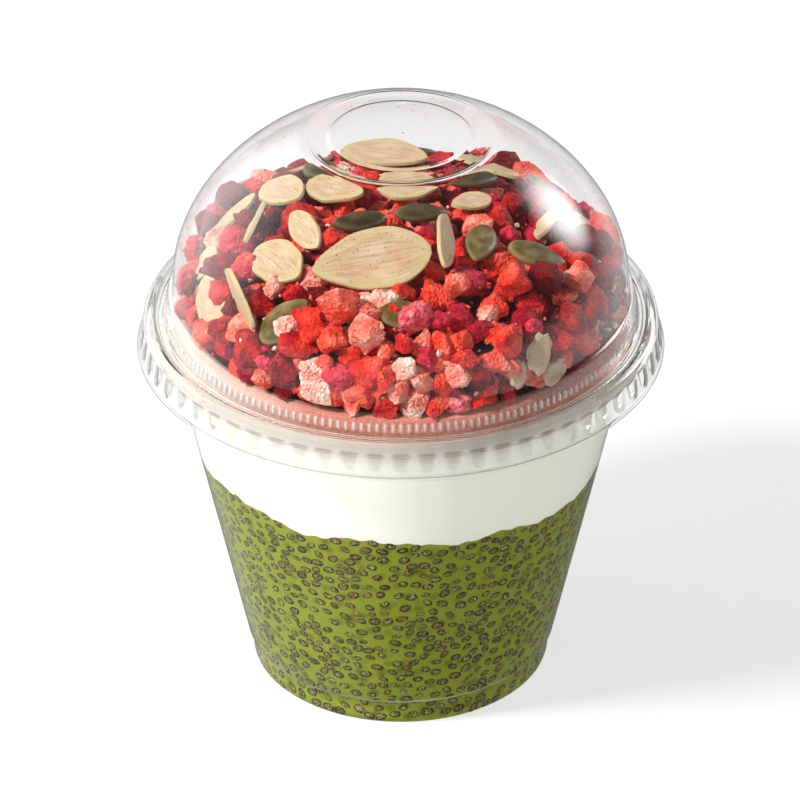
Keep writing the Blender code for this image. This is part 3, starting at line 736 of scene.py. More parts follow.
class AddYogurt(bpy.types.Operator):
    """Adds the layer of yogurt, with the pudding's wavy edge below it"""

    bl_idname = "pudding.add_yogurt"
    bl_label = "Yogurt"

    def execute(self, context):
        cup, filling = sizes("pudding_cup"), sizes("pudding_filling")
        edge, top, side = filling.pudding_top, filling.yogurt_top, filling_radius
        high = 67.5 * MM
        outline = [
            (1.0 * MM, edge + 0.1 * MM), (0.8 * side(edge), edge + 0.1 * MM),
            *((side(level), level) for level in (edge, edge + 2.5 * MM, 60 * MM, high)),
            *beside(side(high), top, (0.2, -0.8), (0, -0.3), (-0.6, -0.05), (-1.4, 0)), (1.0 * MM, top),
        ]
        piece = turn_outline(outline, 3 * cup.sides)
        make_wavy_edge(piece)
        settle("yogurt_layer", made_of("strained_yogurt", strained_yogurt), ["yogurt"], 60)
        return {"FINISHED"}


def take_shape(obj):
    """Corners and faces of a modelled shape, which leaves the scene so that copies can take its place."""
    corners = np.array([vert.co for vert in obj.data.vertices], dtype=np.float64)
    faces = [tuple(face.vertices) for face in obj.data.polygons]
    bpy.data.objects.remove(obj, do_unlink=True)
    return corners, faces


def join_copies(name, shapes, copies, **marks):
    """Makes one mesh of many copies, each given by shape number, matrix and tone.

    Further marks are lists of numbers, one list for each shape.
    """
    corners, faces, count = [], [], 0
    values = {key: [] for key in ("tone", *marks)}
    for number, matrix, tone in copies:
        shape_corners, shape_faces = shapes[number]
        turn = np.array(matrix)
        corners.append(shape_corners @ turn[:3, :3].T + turn[:3, 3])
        faces.extend(tuple(index + count for index in face) for face in shape_faces)
        count += len(shape_corners)
        values["tone"].append(np.full(len(shape_corners), tone))
        for key, lists in marks.items():
            values[key].append(lists[number])
    mesh = bpy.data.meshes.new(name)
    mesh.from_pydata(np.concatenate(corners).tolist(), [], faces)
    deselect_all()
    piece = bpy.data.objects.new(name, mesh)
    for key, lists in values.items():
        mark(piece, key, np.concatenate(lists).astype(np.float32))
    bpy.context.scene.collection.objects.link(piece)
    bpy.context.view_layer.objects.active = piece


def facing(place, outward, spin, scale):
    """A matrix that puts a shape at a place with its Z axis outward, turned about it by spin and scaled."""
    outward = outward.normalized()
    level = Vector((0, 0, 1)).cross(outward)
    level = level.normalized() if level.length > 1e-4 else Vector((1, 0, 0))
    axes = Matrix((level, outward.cross(level), outward)).transposed().to_4x4()
    return Matrix.Translation(place) @ axes @ Matrix.Rotation(spin, 4, "Z") @ Matrix.Diagonal((*scale, 1))


class AddChiaSeeds(bpy.types.Operator):
    """Adds the soaked seeds that press against the cup's wall and floor"""

    bl_idname = "pudding.add_chia_seeds"
    bl_label = "Chia Seeds"

    def execute(self, context):
        filling, chance = sizes("pudding_filling"), random.Random(11)
        deselect_all()
        bpy.ops.mesh.primitive_uv_sphere_add(segments=8, ring_count=6, radius=0.5)
        thick, shown = 0.5 * MM, 0.15 * MM
        with editing():
            spans = (filling.seed_length, filling.seed_width, thick)
            bpy.ops.transform.resize(value=spans, center_override=(0, 0, 0))
        shape = take_shape(bpy.context.object)
        # How near the middle of its outer face each corner lies; the finish paints that middle paler, partly
        # as sheen of the gel.
        middle = np.clip(shape[0][:, 2] / (0.5 * thick), 0, 1)
        edge = filling.pudding_top
        above = edge + 1.5 * MM
        side = [Vector(point) for point in (*pudding_side(), (filling_radius(above), above))]
        areas = [0.0]
        for low, high in zip(side, side[1:]):
            areas.append(areas[-1] + math.pi * (low.x + high.x) * (high - low).length)
        count = int(areas[-1] / (filling.seed_area * MM * MM))
        copies, taken = [], np.zeros((count, 3))
        filled, apart = 0, filling.seed_length * 1.02
        lowest, edge_gap, tries = 1.35 * MM, 0.55 * MM, 6 * count
        while filled < count and apart > 0.5 * filling.seed_length:
            for _ in range(tries):
                wanted = areas[-1] * chance.random()
                part = min(max(1, int(np.searchsorted(areas, wanted))), len(side) - 1)
                low, high = side[part - 1], side[part]
                share = (wanted - areas[part - 1]) / (areas[part] - areas[part - 1])
                spot, along = low.lerp(high, share), (high - low).normalized()
                angle = chance.uniform(0, math.tau)
                level_part = abs(along.y) < 0.3 and spot.y > 3 * MM
                if level_part or not lowest < spot.y < boundary_height(angle) - edge_gap:
                    continue
                place = Vector((spot.x * math.cos(angle), spot.x * math.sin(angle), spot.y))
                gaps = (taken[:filled] - np.array(place)) * (1, 1, 1.25)
                if filled and (gaps * gaps).sum(axis=1).min() < apart * apart:
                    continue
                taken[filled] = place
                filled += 1
                outward = Vector((math.cos(angle) * along.y, math.sin(angle) * along.y, -along.x))
                deep = 0.5 * thick - shown + (0.0 if chance.random() < 0.8 else 0.06 * MM)
                grown = chance.uniform(0.88, 1.16)
                usual = chance.random() > 0.06
                tone = min(0.8, max(0.0, chance.gauss(0.4, 0.2))) if usual else chance.choice((0.9, 1.0))
                scale = (grown, grown * chance.uniform(0.85, 1.1), 1)
                copies.append((0, facing(place - outward * deep, outward, chance.gauss(0, 0.5), scale), tone))
                if filled == count:
                    break
            apart *= 0.94
        join_copies("chia_seeds", [shape], copies, middle=[middle])
        settle("chia_seeds", made_of("soaked_chia_seed", soaked_seed))
        return {"FINISHED"}


def heap_point(share, angle, sunk):
    """A place on the heap's outside and the way it faces: share runs from its foot at 0 to its top at 1."""
    toppings = sizes("pudding_toppings")
    radius, power = toppings.heap_radius, toppings.heap_power
    rise = (toppings.heap_top - toppings.heap_shoulder) * (1 - 0.22 * max(0.0, math.sin(angle)))
    straight = toppings.heap_shoulder - toppings.heap_foot
    foot_share = straight / (straight + 1.2 * radius)
    ahead = Vector((math.cos(angle), math.sin(angle), 0))
    if share < foot_share:
        height = toppings.heap_foot + straight * share / foot_share
        return ahead * (radius - sunk) + Vector((0, 0, height)), ahead
    turn = 0.5 * math.pi * (share - foot_share) / (1 - foot_share)
    reach, lift = math.cos(turn) ** (2 / power), math.sin(turn) ** (2 / power)
    upward = Vector((0, 0, lift ** (power - 1) / rise))
    outward = (ahead * reach ** (power - 1) / radius + upward).normalized()
    blend = reach * rise + (1 - reach) * (toppings.heap_top - toppings.heap_shoulder) * 0.93
    place = ahead * radius * reach + Vector((0, 0, toppings.heap_shoulder + blend * lift))
    return place - outward * sunk, outward


def spread_over_heap(count, sunk, chance, start):
    """Places spread evenly over the heap's outside, each with the way it faces."""
    steps = 200
    belts, total = [], 0.0
    for step in range(steps):
        low, _ = heap_point(step / steps, 0.0, sunk)
        high, _ = heap_point((step + 1) / steps, 0.0, sunk)
        total += 0.5 * (low.x + high.x) * (high - low).length
        belts.append(total)
    golden = math.pi * (3 - math.sqrt(5))
    for number in range(count):
        wanted = total * (number + chance.uniform(0.1, 0.9)) / count
        share = float(np.interp(wanted, [0.0, *belts], np.linspace(0, 1, steps + 1)))
        yield heap_point(share, start + number * golden + chance.gauss(0, 0.012), sunk)


def push_apart(places, outwards, reaches, still, rounds=25):
    """Moves pieces apart sideways, all but the first still ones, and keeps each at its depth in the heap."""
    places, outwards, reaches = np.array(places), np.array(outwards), np.array(reaches)
    wanted = reaches[:, None] + reaches[None, :]
    for _ in range(rounds):
        gaps = places[:, None, :] - places[None, :, :]
        far = np.linalg.norm(gaps, axis=2) + 1e-9
        np.fill_diagonal(far, 1.0)
        overlap = np.clip(wanted - far, 0, None)
        moves = (gaps * (0.35 * overlap / far)[:, :, None]).sum(axis=1)
        moves -= 0.85 * outwards * (moves * outwards).sum(axis=1)[:, None]
        moves[:still] = 0
        places += moves
    return [Vector(place) for place in places]


class AddHeapCore(bpy.types.Operator):
    """Adds the crushed berry under the toppings, whose dark colour is painted shade in the gaps between the
    pieces
    """

    bl_idname = "pudding.add_heap_core"
    bl_label = "Heap Core"

    def execute(self, context):
        filling = sizes("pudding_filling")
        floor = filling.yogurt_top - 0.2 * MM
        outline = beside(
            0, floor, (1.0, 0), (41.6, 0), (41.9, 1.6), (41.6, 3.8), (41.0, 4.4), (39.6, 4.3), (37.0, 4.6)
        )
        for step in range(20):
            place, _ = heap_point(0.05 + 0.945 * step / 19, 0.0, 4.2 * MM)
            outline.append((max(place.x, 0.5 * MM), place.z))
        turn_outline(outline, 96)
        material = made_of("crushed_berry_dust", crushed_berry_and_shade)
        settle("berry_dust_core", material, ["topping_heap"])
        return {"FINISHED"}


def wear(piece, grains):
    """Presses dents of several sizes into the active piece: each is a grain size and a depth."""
    for grain, depth in grains:
        texture = bpy.data.textures.new("grain", "CLOUDS")
        texture.noise_scale = grain
        apply_modifier(piece, "DISPLACE", texture=texture, strength=depth, mid_level=0.5)
        bpy.data.textures.remove(texture)


def chipped_block(number, cuts, faces):
    """One crumbly chunk: a cube with its corners broken off, then worn into dents and grains."""
    chance = random.Random(100 + number)
    deselect_all()
    bpy.ops.mesh.primitive_cube_add(size=1.0)
    block = bpy.context.object
    with editing():
        spans = (chance.uniform(1.0, 1.6), chance.uniform(0.75, 1.05), chance.uniform(0.55, 0.85))
        bpy.ops.transform.resize(value=spans, center_override=(0, 0, 0))
        for cut in range(cuts):
            signs = [-1 if (cut >> axis) & 1 else 1 for axis in range(3)]
            normal = Vector([sign * chance.uniform(0.25, 1.0) for sign in signs]).normalized()
            place = normal * chance.uniform(0.28, 0.5)
            bpy.ops.mesh.select_all(action="SELECT")
            bpy.ops.mesh.bisect(plane_co=place, plane_no=normal, use_fill=True, clear_outer=True)
        bpy.ops.mesh.select_all(action="SELECT")
        bpy.ops.transform.translate(value=(3.7 * number, 0, 0))
    apply_modifier(block, "REMESH", mode="VOXEL", voxel_size=0.075)
    wear(block, ((0.5, 0.22), (0.16, 0.09)))
    apply_modifier(block, "DECIMATE", ratio=faces / (2 * len(block.data.polygons)))
    corners, triangles = take_shape(block)
    low, high = corners.min(axis=0), corners.max(axis=0)
    return (corners - (low + high) / 2) / (high - low).mean(), triangles


def lumpy_round(number, squeeze):
    """One roundish lump of small cells."""
    chance = random.Random(300 + number)
    deselect_all()
    bpy.ops.mesh.primitive_ico_sphere_add(subdivisions=3, radius=0.5)
    lump = bpy.context.object
    with editing():
        bpy.ops.transform.resize(value=(1.15, squeeze, chance.uniform(0.75, 0.95)), center_override=(0, 0, 0))
        bpy.ops.transform.vertex_random(offset=0.05, uniform=0.2, normal=0.8, seed=number)
    wear(lump, ((0.3, 0.16), (0.11, 0.07)))
    return take_shape(lump)


def tumbled(place, size, chance):
    """A matrix that puts a shape at a place and a size, turned any way."""
    axis = Vector([chance.gauss(0, 1) for _ in range(3)])
    turn = Matrix.Rotation(chance.uniform(0, math.tau), 4, axis)
    return Matrix.Translation(place) @ turn @ Matrix.Scale(size, 4)


# Slices and seeds that berries partly cover.
COVERED = ("almond_slice_19", "almond_slice_20", "pumpkin_seed_07")


def cad_nodes(*starts):
    return sorted(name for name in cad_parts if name.startswith(starts))


def flat_things():
    """Inverse frame and sizes of every CAD slice and seed, and whether berries have to leave it free."""
    found = []
    for name in cad_nodes("almond_slice", "pumpkin_seed"):
        matrix, extent = lying_frame(name)
        found.append((matrix.inverted(), extent, name not in COVERED))
    return found


def lying_frame(node):
    """Where a CAD slice or seed lies: a matrix, length along X and face along Z, and its sizes."""
    corners = np.array([vert.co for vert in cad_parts[node].data.vertices], dtype=np.float64)
    corners = np.unique(np.round(corners, 7), axis=0)
    middle = corners.mean(axis=0)
    _, _, axes = np.linalg.svd(corners - middle, full_matrices=False)
    spans = (corners - middle) @ axes.T
    low, high = spans.min(axis=0), spans.max(axis=0)
    centre = middle + axes.T @ ((low + high) / 2)
    face = Vector(axes[2])
    outward = Vector(centre) - HEAP_MIDDLE
    if face.dot(outward) < 0:
        face = -face
    lengthwise = Vector(axes[0])
    wide = spans[:, 0][np.argsort(-np.abs(spans[:, 1]))[:4]].mean() - (low[0] + high[0]) / 2
    if wide > 0:
        lengthwise = -lengthwise
    turn = Matrix((lengthwise, face.cross(lengthwise), face)).transposed().to_4x4()
    return Matrix.Translation(Vector(centre)) @ turn, Vector(high - low)


def over_flat_thing(place, reach, things):
    """True if a piece at this place would cut into a slice or seed, or hide it from the front."""
    for inverse, extent, seen in things:
        local = inverse @ place
        room = 1.1 * reach + 0.5 * MM
        if local.z < -room or (not seen and local.z > room):
            continue
        sight = (inverse.to_3x3() @ TO_CAMERA).normalized()
        fitted = [local]
        if seen and local.z > 0 and sight.z > 0.12:
            fitted.append(local - sight * (local.z / sight.z))
        for spot in fitted:
            half_x, half_y = 0.5 * extent.x + 0.35 * reach, 0.5 * extent.y + 0.35 * reach
            if math.hypot(spot.x / half_x, spot.y / half_y) < 1.0 and local.z < 12 * MM:
                return True
    return False


# Pieces that stand out in the heap: place and size in mm, and tone from 0, dark, to 1, pale. The chips of
# almond have a turn about their face, in radians, in place of the tone.
SEEN_BERRIES = (
    (-8.3, -26.5, 89.3, 6.3, 1.00), (-13.3, -28.7, 88.1, 4.8, 0.86), (-20.2, -30.4, 87.0, 5.0, 0.93),
    (-23.4, -18.6, 89.6, 4.8, 0.88), (-17.3, -16.1, 90.1, 5.2, 0.84), (-10.6, -33.0, 86.6, 5.3, 0.86),
    (0.2, -38.1, 83.7, 6.0, 0.95), (3.6, -38.8, 81.7, 5.0, 0.76), (2.5, -39.5, 77.5, 5.0, 0.88),
    (-8.8, -38.5, 76.9, 4.9, 0.80), (15.8, -27.1, 88.2, 4.2, 0.84), (29.6, -18.5, 86.6, 4.8, 0.80),
    (23.9, -13.1, 89.4, 5.2, 0.70), (-3.2, -18.1, 90.7, 5.0, 0.58), (0.7, -22.1, 90.4, 6.4, 0.50),
    (4.9, -16.6, 90.8, 5.6, 0.52), (6.3, -23.8, 90.0, 6.0, 0.52), (21.3, -17.8, 89.3, 5.2, 0.58),
    (27.3, -13.1, 88.6, 7.2, 0.60), (18.1, -13.2, 90.3, 6.8, 0.48), (17.1, -24.8, 88.7, 5.2, 0.52),
    (7.5, -35.4, 85.6, 6.2, 0.58), (6.6, -39.0, 76.2, 5.6, 0.52), (-5.3, -33.9, 86.9, 5.6, 0.36),
    (-2.8, -28.6, 89.1, 5.2, 0.30), (24.5, -23.1, 87.3, 5.4, 0.38), (-26.4, -21.2, 87.2, 5.4, 0.32),
    (-14.2, -7.2, 90.9, 5.0, 0.18), (-33.0, -14.6, 85.7, 5.2, 0.34), (-5.3, -38.1, 82.9, 7.0, 0.46),
    (-8.6, -36.1, 84.8, 5.0, 0.50), (11.0, -33.7, 86.2, 5.0, 0.60), (3.9, -34.7, 86.4, 5.0, 0.66),
    (11.9, -13.3, 90.8, 4.6, 0.44), (17.1, -8.2, 90.7, 5.2, 0.56), (17.6, -30.3, 86.4, 5.4, 0.56),
    (-3.1, -39.5, 77.1, 5.2, 0.36), (-7.4, -38.8, 79.4, 5.2, 0.56), (14.6, -36.8, 75.8, 5.4, 0.44),
    (19.4, -34.5, 75.5, 4.8, 0.22), (16.5, -34.8, 82.9, 5.6, 0.64), (20.1, -33.7, 81.0, 5.0, 0.66),
    (7.6, -38.6, 80.3, 4.8, 0.48), (15.5, -36.4, 78.5, 4.6, 0.58), (-15.7, -31.5, 86.3, 5.6, 0.66),
    (-16.8, -35.2, 81.7, 5.0, 0.58), (-14.3, -35.8, 82.7, 4.6, 0.60), (-12.7, -37.5, 77.9, 5.0, 0.52),
    (12.9, -36.5, 82.3, 4.4, 0.40), (24.4, -31.1, 77.7, 4.6, 0.70),
)
ALMOND_CHIPS = (
    (24.9, -31.2, 82.0, 5.2, 0.9), (21.2, -34.6, 79.6, 3.6, 1.0), (27.3, -30.0, 77.6, 4.0, 0.3),
    (36.4, -6.0, 83.0, 4.4, 1.4),
)
SEEN_RASPBERRIES = (
    (2.4, -30.9, 90.0, 6.4, 0.80), (7.3, -30.1, 88.4, 5.4, 0.45), (12.5, -18.5, 90.3, 7.0, 0.60),
    (10.1, -38.3, 76.8, 5.0, 0.90), (-11.5, -37.4, 81.2, 6.6, 0.55), (-30.7, -2.3, 88.5, 7.0, 0.60),
    (20.6, -3.6, 90.5, 5.2, 0.45), (24.6, -2.7, 90.0, 5.0, 0.35), (4.5, -36.9, 84.6, 4.8, 0.50),
    (11.0, -28.8, 88.4, 5.4, 0.30), (14.0, -30.8, 87.1, 4.8, 0.30), (23.0, -26.3, 86.5, 5.4, 0.25),
)


def seen_pieces(table):
    """Place, way it faces, size and tone of each piece in a table."""
    for x, y, z, size, tone in table:
        place = Vector((x, y, z)) * MM
        outward = (place - HEAP_MIDDLE).normalized()
        yield place - outward * 0.25 * size * MM, outward, size * MM, tone


def near_seen(place, size, table):
    """Whether a piece would reach into one of the pieces in a table."""
    return any((place - spot).length < 0.42 * (size + grown) for spot, _, grown, _ in seen_pieces(table))


class AddStrawberryPieces(bpy.types.Operator):
    """Adds the chipped pieces of freeze-dried strawberry, in layers over the core"""

    bl_idname = "pudding.add_strawberry"
    bl_label = "Strawberry Pieces"

    def execute(self, context):
        toppings = sizes("pudding_toppings")
        chance = random.Random(21)
        fine = [chipped_block(number, 5 + number % 4, 190) for number in range(20)]
        plain = [chipped_block(number, 4 + number % 3, 60) for number in range(20, 28)]
        shapes, things, copies = fine + plain, flat_things(), []
        foot_ring = 50
        # Each layer: how many, how deep in mm, the share of the usual size, the change of tone and the kinds.
        # The deeper layer's darker tone is painted shade in the gaps between the top pieces.
        layers = ((235, 0.4, 1.04, 0.0, 20), (290, 4.8, 0.95, -0.4, 8), (200, 2.4, 0.45, -0.1, 8))
        for layer, (count, sunk, share, darker, kinds) in enumerate(layers):
            pieces = list(seen_pieces(SEEN_BERRIES)) if layer == 0 else []
            still = len(pieces)
            if layer == 0:
                for number in range(foot_ring):
                    angle = (number + chance.uniform(-0.3, 0.3)) * math.tau / foot_ring
                    ahead = Vector((math.cos(angle), math.sin(angle), 0))
                    place = ahead * 38.6 * MM + Vector((0, 0, chance.uniform(76.9, 78.2) * MM))
                    pieces.append((place, ahead, 4.5 * chance.uniform(0.8, 1.1) * MM, None))
            for place, outward in spread_over_heap(count, sunk * MM, chance, layer * 1.7):
                place = place + outward * chance.gauss(0, 0.6) * MM
                size = toppings.berry_size * share * chance.uniform(0.62, 1.34)
                pieces.append((place, outward, size, None))
            starts, outwards, across, _ = zip(*pieces)
            places = push_apart(starts, outwards, [0.5 * size for size in across], still)
            for place, (_, outward, size, tone) in zip(places, pieces):
                if place.z < toppings.heap_foot - (1.2 * MM if layer == 0 else 0.0):
                    continue
                place = Vector((place.x, place.y, max(place.z, toppings.heap_foot + 0.7 * MM)))
                if tone is None:
                    if layer != 1 and near_seen(place, size, SEEN_RASPBERRIES):
                        continue
                    if near_seen(place, size, ALMOND_CHIPS):
                        continue
                    for _ in range(4):
                        if not over_flat_thing(place, 0.5 * size, things):
                            break
                        place = place - outward * 1.0 * MM
                    else:
                        continue
                    tone = chance.choices((0.06, 0.26, 0.48, 0.66, 0.90), weights=(13, 21, 32, 24, 10))[0]
                    # Pieces at the back and on the right get a darker tone, a painted shade, and low pieces
                    # at the front a slightly paler one.
                    tone += chance.gauss(darker, 0.07) - 0.16 * max(0.0, min(1.0, place.y / (12 * MM)))
                    tone -= 0.2 * max(0.0, min(1.0, place.x / (26 * MM)))
                    if place.z < 80 * MM and place.y < 0:
                        tone += 0.06
                kind = chance.randrange(kinds) + (0 if layer == 0 else len(fine))
                matrix = tumbled(place, size, chance)
                copies.append((kind, clear_of_lid(shapes[kind], matrix), tone))
        join_copies("strawberry_pieces", shapes, copies)
        material = made_of("freeze_dried_strawberry", dried_strawberry)
        settle("strawberry_pieces", material, (), 32)
        return {"FINISHED"}


class AddRaspberryPieces(bpy.types.Operator):
    """Adds the crimson bits of freeze-dried raspberry"""

    bl_idname = "pudding.add_raspberry"
    bl_label = "Raspberry Pieces"

    def execute(self, context):
        toppings = sizes("pudding_toppings")
        chance = random.Random(31)
        shapes = [lumpy_round(number, 0.7 + 0.06 * number) for number in range(5)]
        things = flat_things()
        pieces = list(seen_pieces(SEEN_RASPBERRIES))
        for place, outward in spread_over_heap(150, 0.2 * MM, chance, 0.6):
            size = toppings.berry_size * chance.uniform(0.6, 1.15)
            kept = place.y > 8 * MM or chance.random() < 0.35 and not near_seen(place, size, SEEN_BERRIES)
            if kept and not over_flat_thing(place, 0.5 * size, things):
                pieces.append((place, outward, size, chance.uniform(0.05, 0.7)))
        copies = []
        for place, _, size, tone in pieces:
            kind = chance.randrange(len(shapes))
            matrix = tumbled(place, size, chance)
            copies.append((kind, clear_of_lid(shapes[kind], matrix), tone))
        join_copies("raspberry_pieces", shapes, copies)
        material = made_of("freeze_dried_raspberry", dried_raspberry)
        settle("raspberry_pieces", material, (), 60)
        return {"FINISHED"}


def almond_outline(share):
    """Half width of an almond slice along its length, as a share of its width, blunt end first."""
    return 0.5 * math.sin(math.pi * share**0.85) ** 0.62


def slice_shape(number):
    """A thin, curled almond slice of unit length and width, and how near its edge each corner lies."""
    chance = random.Random(500 + number)
    deselect_all()
    bpy.ops.mesh.primitive_grid_add(x_subdivisions=22, y_subdivisions=10, size=1.0)
    piece = bpy.context.object
    curl, ripple, phase = chance.uniform(0.25, 0.8), chance.uniform(0.06, 0.14), chance.uniform(0, math.tau)
    uneven = [chance.uniform(-0.02, 0.02) for _ in range(4)]
    edges = []
    for vert in piece.data.vertices:
        x, y, _ = vert.co
        share = min(0.995, max(0.005, x + 0.5))
        waves = (part * math.sin((order + 2) * math.pi * share + phase) for order, part in enumerate(uneven))
        half = almond_outline(share) + sum(waves) * math.sin(math.pi * share)
        across = 2 * y * half
        edges.append(max(abs(2 * y), abs(2 * x)))
        curled = curl * (across**2 + 0.25 * x**2) + ripple * math.sin(7 * x + phase) * 0.2
        vert.co = Vector((x, across, curled + 0.04 * math.sin(11 * across + phase)))
    return piece, edges


class AddAlmondSlices(bpy.types.Operator):
    """Adds a thin, slightly curled slice for every almond slice of the frame"""

    bl_idname = "pudding.add_almonds"
    bl_label = "Almond Slices"

    def execute(self, context):
        toppings = sizes("pudding_toppings")
        material = made_of("sliced_almond", sliced_almond)
        chance = random.Random(41)
        for number, name in enumerate(cad_nodes("almond_slice")):
            matrix, extent = lying_frame(name)
            piece, edges = slice_shape(number)
            mark(piece, "edge", edges)
            mark(piece, "tone", [chance.choice((0.2, 0.35, 0.6, 1.0))] * len(edges))
            thick = toppings.almond_thickness
            for vert in piece.data.vertices:
                x, y, z = vert.co
                vert.co = Vector((x * extent.x, y * extent.y, z * thick * 1.6))
            apply_modifier(piece, "SOLIDIFY", thickness=thick, offset=0.0)
            rounding = {"width": 0.2 * MM, "segments": 2, "limit_method": "ANGLE"}
            apply_modifier(piece, "BEVEL", **rounding, angle_limit=math.radians(60))
            piece.matrix_world = matrix
            settle(f"sliced_almond_{number + 1:02d}", material, [name], 50)
        piece, edges = slice_shape(30)
        apply_modifier(piece, "SOLIDIFY", thickness=0.5)
        edge = np.resize(np.array(edges), len(piece.data.vertices))
        shape = take_shape(piece)
        copies = []
        for x, y, z, long, spin in ALMOND_CHIPS:
            place = Vector((x, y, z)) * MM
            outward = Vector((place.x, place.y, 22 * MM))
            matrix = facing(place, outward, spin, (1.15 * long * MM, 0.75 * long * MM, 1.2 * MM))
            matrix = Matrix.Translation(outward.normalized() * 1.3 * MM) @ matrix
            copies.append((0, clear_of_lid(shape, matrix), 0.2))
        join_copies("almond_chips", [shape], copies, edge=[0.6 * edge])
        settle("almond_chips", material, (), 50)
        return {"FINISHED"}


class AddPumpkinSeeds(bpy.types.Operator):
    """Adds a flat pointed seed for every pumpkin seed of the frame"""

    bl_idname = "pudding.add_pumpkin_seeds"
    bl_label = "Pumpkin Seeds"

    def execute(self, context):
        material = made_of("hulled_pumpkin_seed", hulled_pumpkin_seed)
        chance = random.Random(51)
        for number, name in enumerate(cad_nodes("pumpkin_seed")):
            matrix, extent = lying_frame(name)
            deselect_all()
            bpy.ops.mesh.primitive_uv_sphere_add(segments=32, ring_count=20, radius=0.5)
            piece = bpy.context.object
            bend = chance.uniform(-0.12, 0.12)
            edges = []
            for vert in piece.data.vertices:
                z, x, y = vert.co
                narrowing = 1.0 - 0.42 * max(0.0, 2 * x) ** 1.6
                around = math.hypot(2 * x, 2 * y)
                edges.append(min(1.0, around))
                rolled = 0.5 * (abs(2 * z) ** 0.8) * (1 if z > 0 else -1)
                bent = y * narrowing + bend * (x * x - 0.1)
                vert.co = Vector((x * extent.x, bent * extent.y, rolled * extent.z))
            mark(piece, "edge", edges)
            # Seeds at the back get a darker tone: painted shade.
            mark(piece, "tone", [0.42 if matrix.translation.y > -10 * MM else 1.0] * len(edges))
            with editing():
                bpy.ops.mesh.normals_make_consistent(inside=False)
            piece.matrix_world = matrix
            settle(f"hulled_pumpkin_seed_{number + 1:02d}", material, [name])
        return {"FINISHED"}


class AddCrumbs(bpy.types.Operator):
    """Adds berry crumbs over the toppings and fine red dust on the inside of the dome"""

    bl_idname = "pudding.add_crumbs"
    bl_label = "Crumbs and Dust"

    def execute(self, context):
        toppings, lid = sizes("pudding_toppings"), sizes("pudding_lid")
        chance = random.Random(61)
        shapes = []
        for number in range(4):
            deselect_all()
            bpy.ops.mesh.primitive_ico_sphere_add(subdivisions=1, radius=0.5)
            with editing():
                bpy.ops.transform.vertex_random(offset=0.22, uniform=0.8, normal=0.2, seed=number)
            shapes.append(take_shape(bpy.context.object))
        copies, things = [], flat_things()
        on_heap, on_dome = 1500, 260
        for place, outward in spread_over_heap(on_heap, -0.6 * MM, chance, 2.2):
            size = toppings.crumb_size * chance.uniform(0.5, 1.7)
            place = place - outward * chance.uniform(0.0, 3.0) * MM
            if over_flat_thing(place, 0.5 * size, things):
                continue
            kind = chance.randrange(len(shapes))
            matrix = tumbled(place, size, chance)
            tone = 1.0 if chance.random() < 0.2 else chance.gauss(0.4, 0.25)
            copies.append((kind, clear_of_lid(shapes[kind], matrix), tone))
        for _ in range(on_dome):
            rise = math.asin(chance.uniform(0.05, 0.86))
            angle = chance.uniform(0, math.tau)
            radius, height = dome_point(rise, lid.wall + 0.08 * MM)
            size = chance.uniform(0.10, 0.28) * MM
            place = Vector((radius * math.cos(angle), radius * math.sin(angle), height))
            matrix = tumbled(place, size, chance)
            copies.append((chance.randrange(len(shapes)), matrix, chance.gauss(0.3, 0.2)))
        join_copies("berry_crumbs", shapes, copies)
        material = made_of("strawberry_crumbs", dried_strawberry, 0.05)
        settle("berry_crumbs", material, (), 30)
        return {"FINISHED"}


def add_area_light(name, place, spans, power, core, mirrored=False):
    """A soft box that faces the cup and fades to its edge, and either lights it or shows as a highlight."""
    azimuth, elevation, distance = place
    turn, rise = math.radians(azimuth), math.radians(elevation)
    ahead = Vector((math.sin(turn) * math.cos(rise), -math.cos(turn) * math.cos(rise), math.sin(rise)))
    data = bpy.data.lights.new(name, "AREA")
    data.shape = "RECTANGLE"
    data.size, data.size_y = spans
    data.energy = power
    data.use_nodes = True
    data.node_tree.nodes.clear()
    add = functools.partial(add_node, data.node_tree)
    spot = add("NewGeometry").outputs["Parametric"]
    off = add("VectorMath", {0: spot, 1: (0.5, 0.5, 0.0)}, operation="DISTANCE")
    faded = add("MapRange", {
        "Value": off, "From Min": core, "From Max": 0.5, "To Min": 2.0, "To Max": 0.0,
    }, interpolation_type="SMOOTHSTEP")
    add("OutputLight", {"Surface": add("Emission", {"Strength": faded})})
    lamp = bpy.data.objects.new(name, data)
    lamp.location = Vector((0, 0, 0.06)) + ahead * distance
    lamp.rotation_euler = ahead.to_track_quat("Z", "Y").to_euler()
    lamp.visible_glossy = lamp.visible_transmission = mirrored
    lamp.visible_diffuse = not mirrored
    lamp.visible_camera = False
    bpy.context.scene.collection.objects.link(lamp)


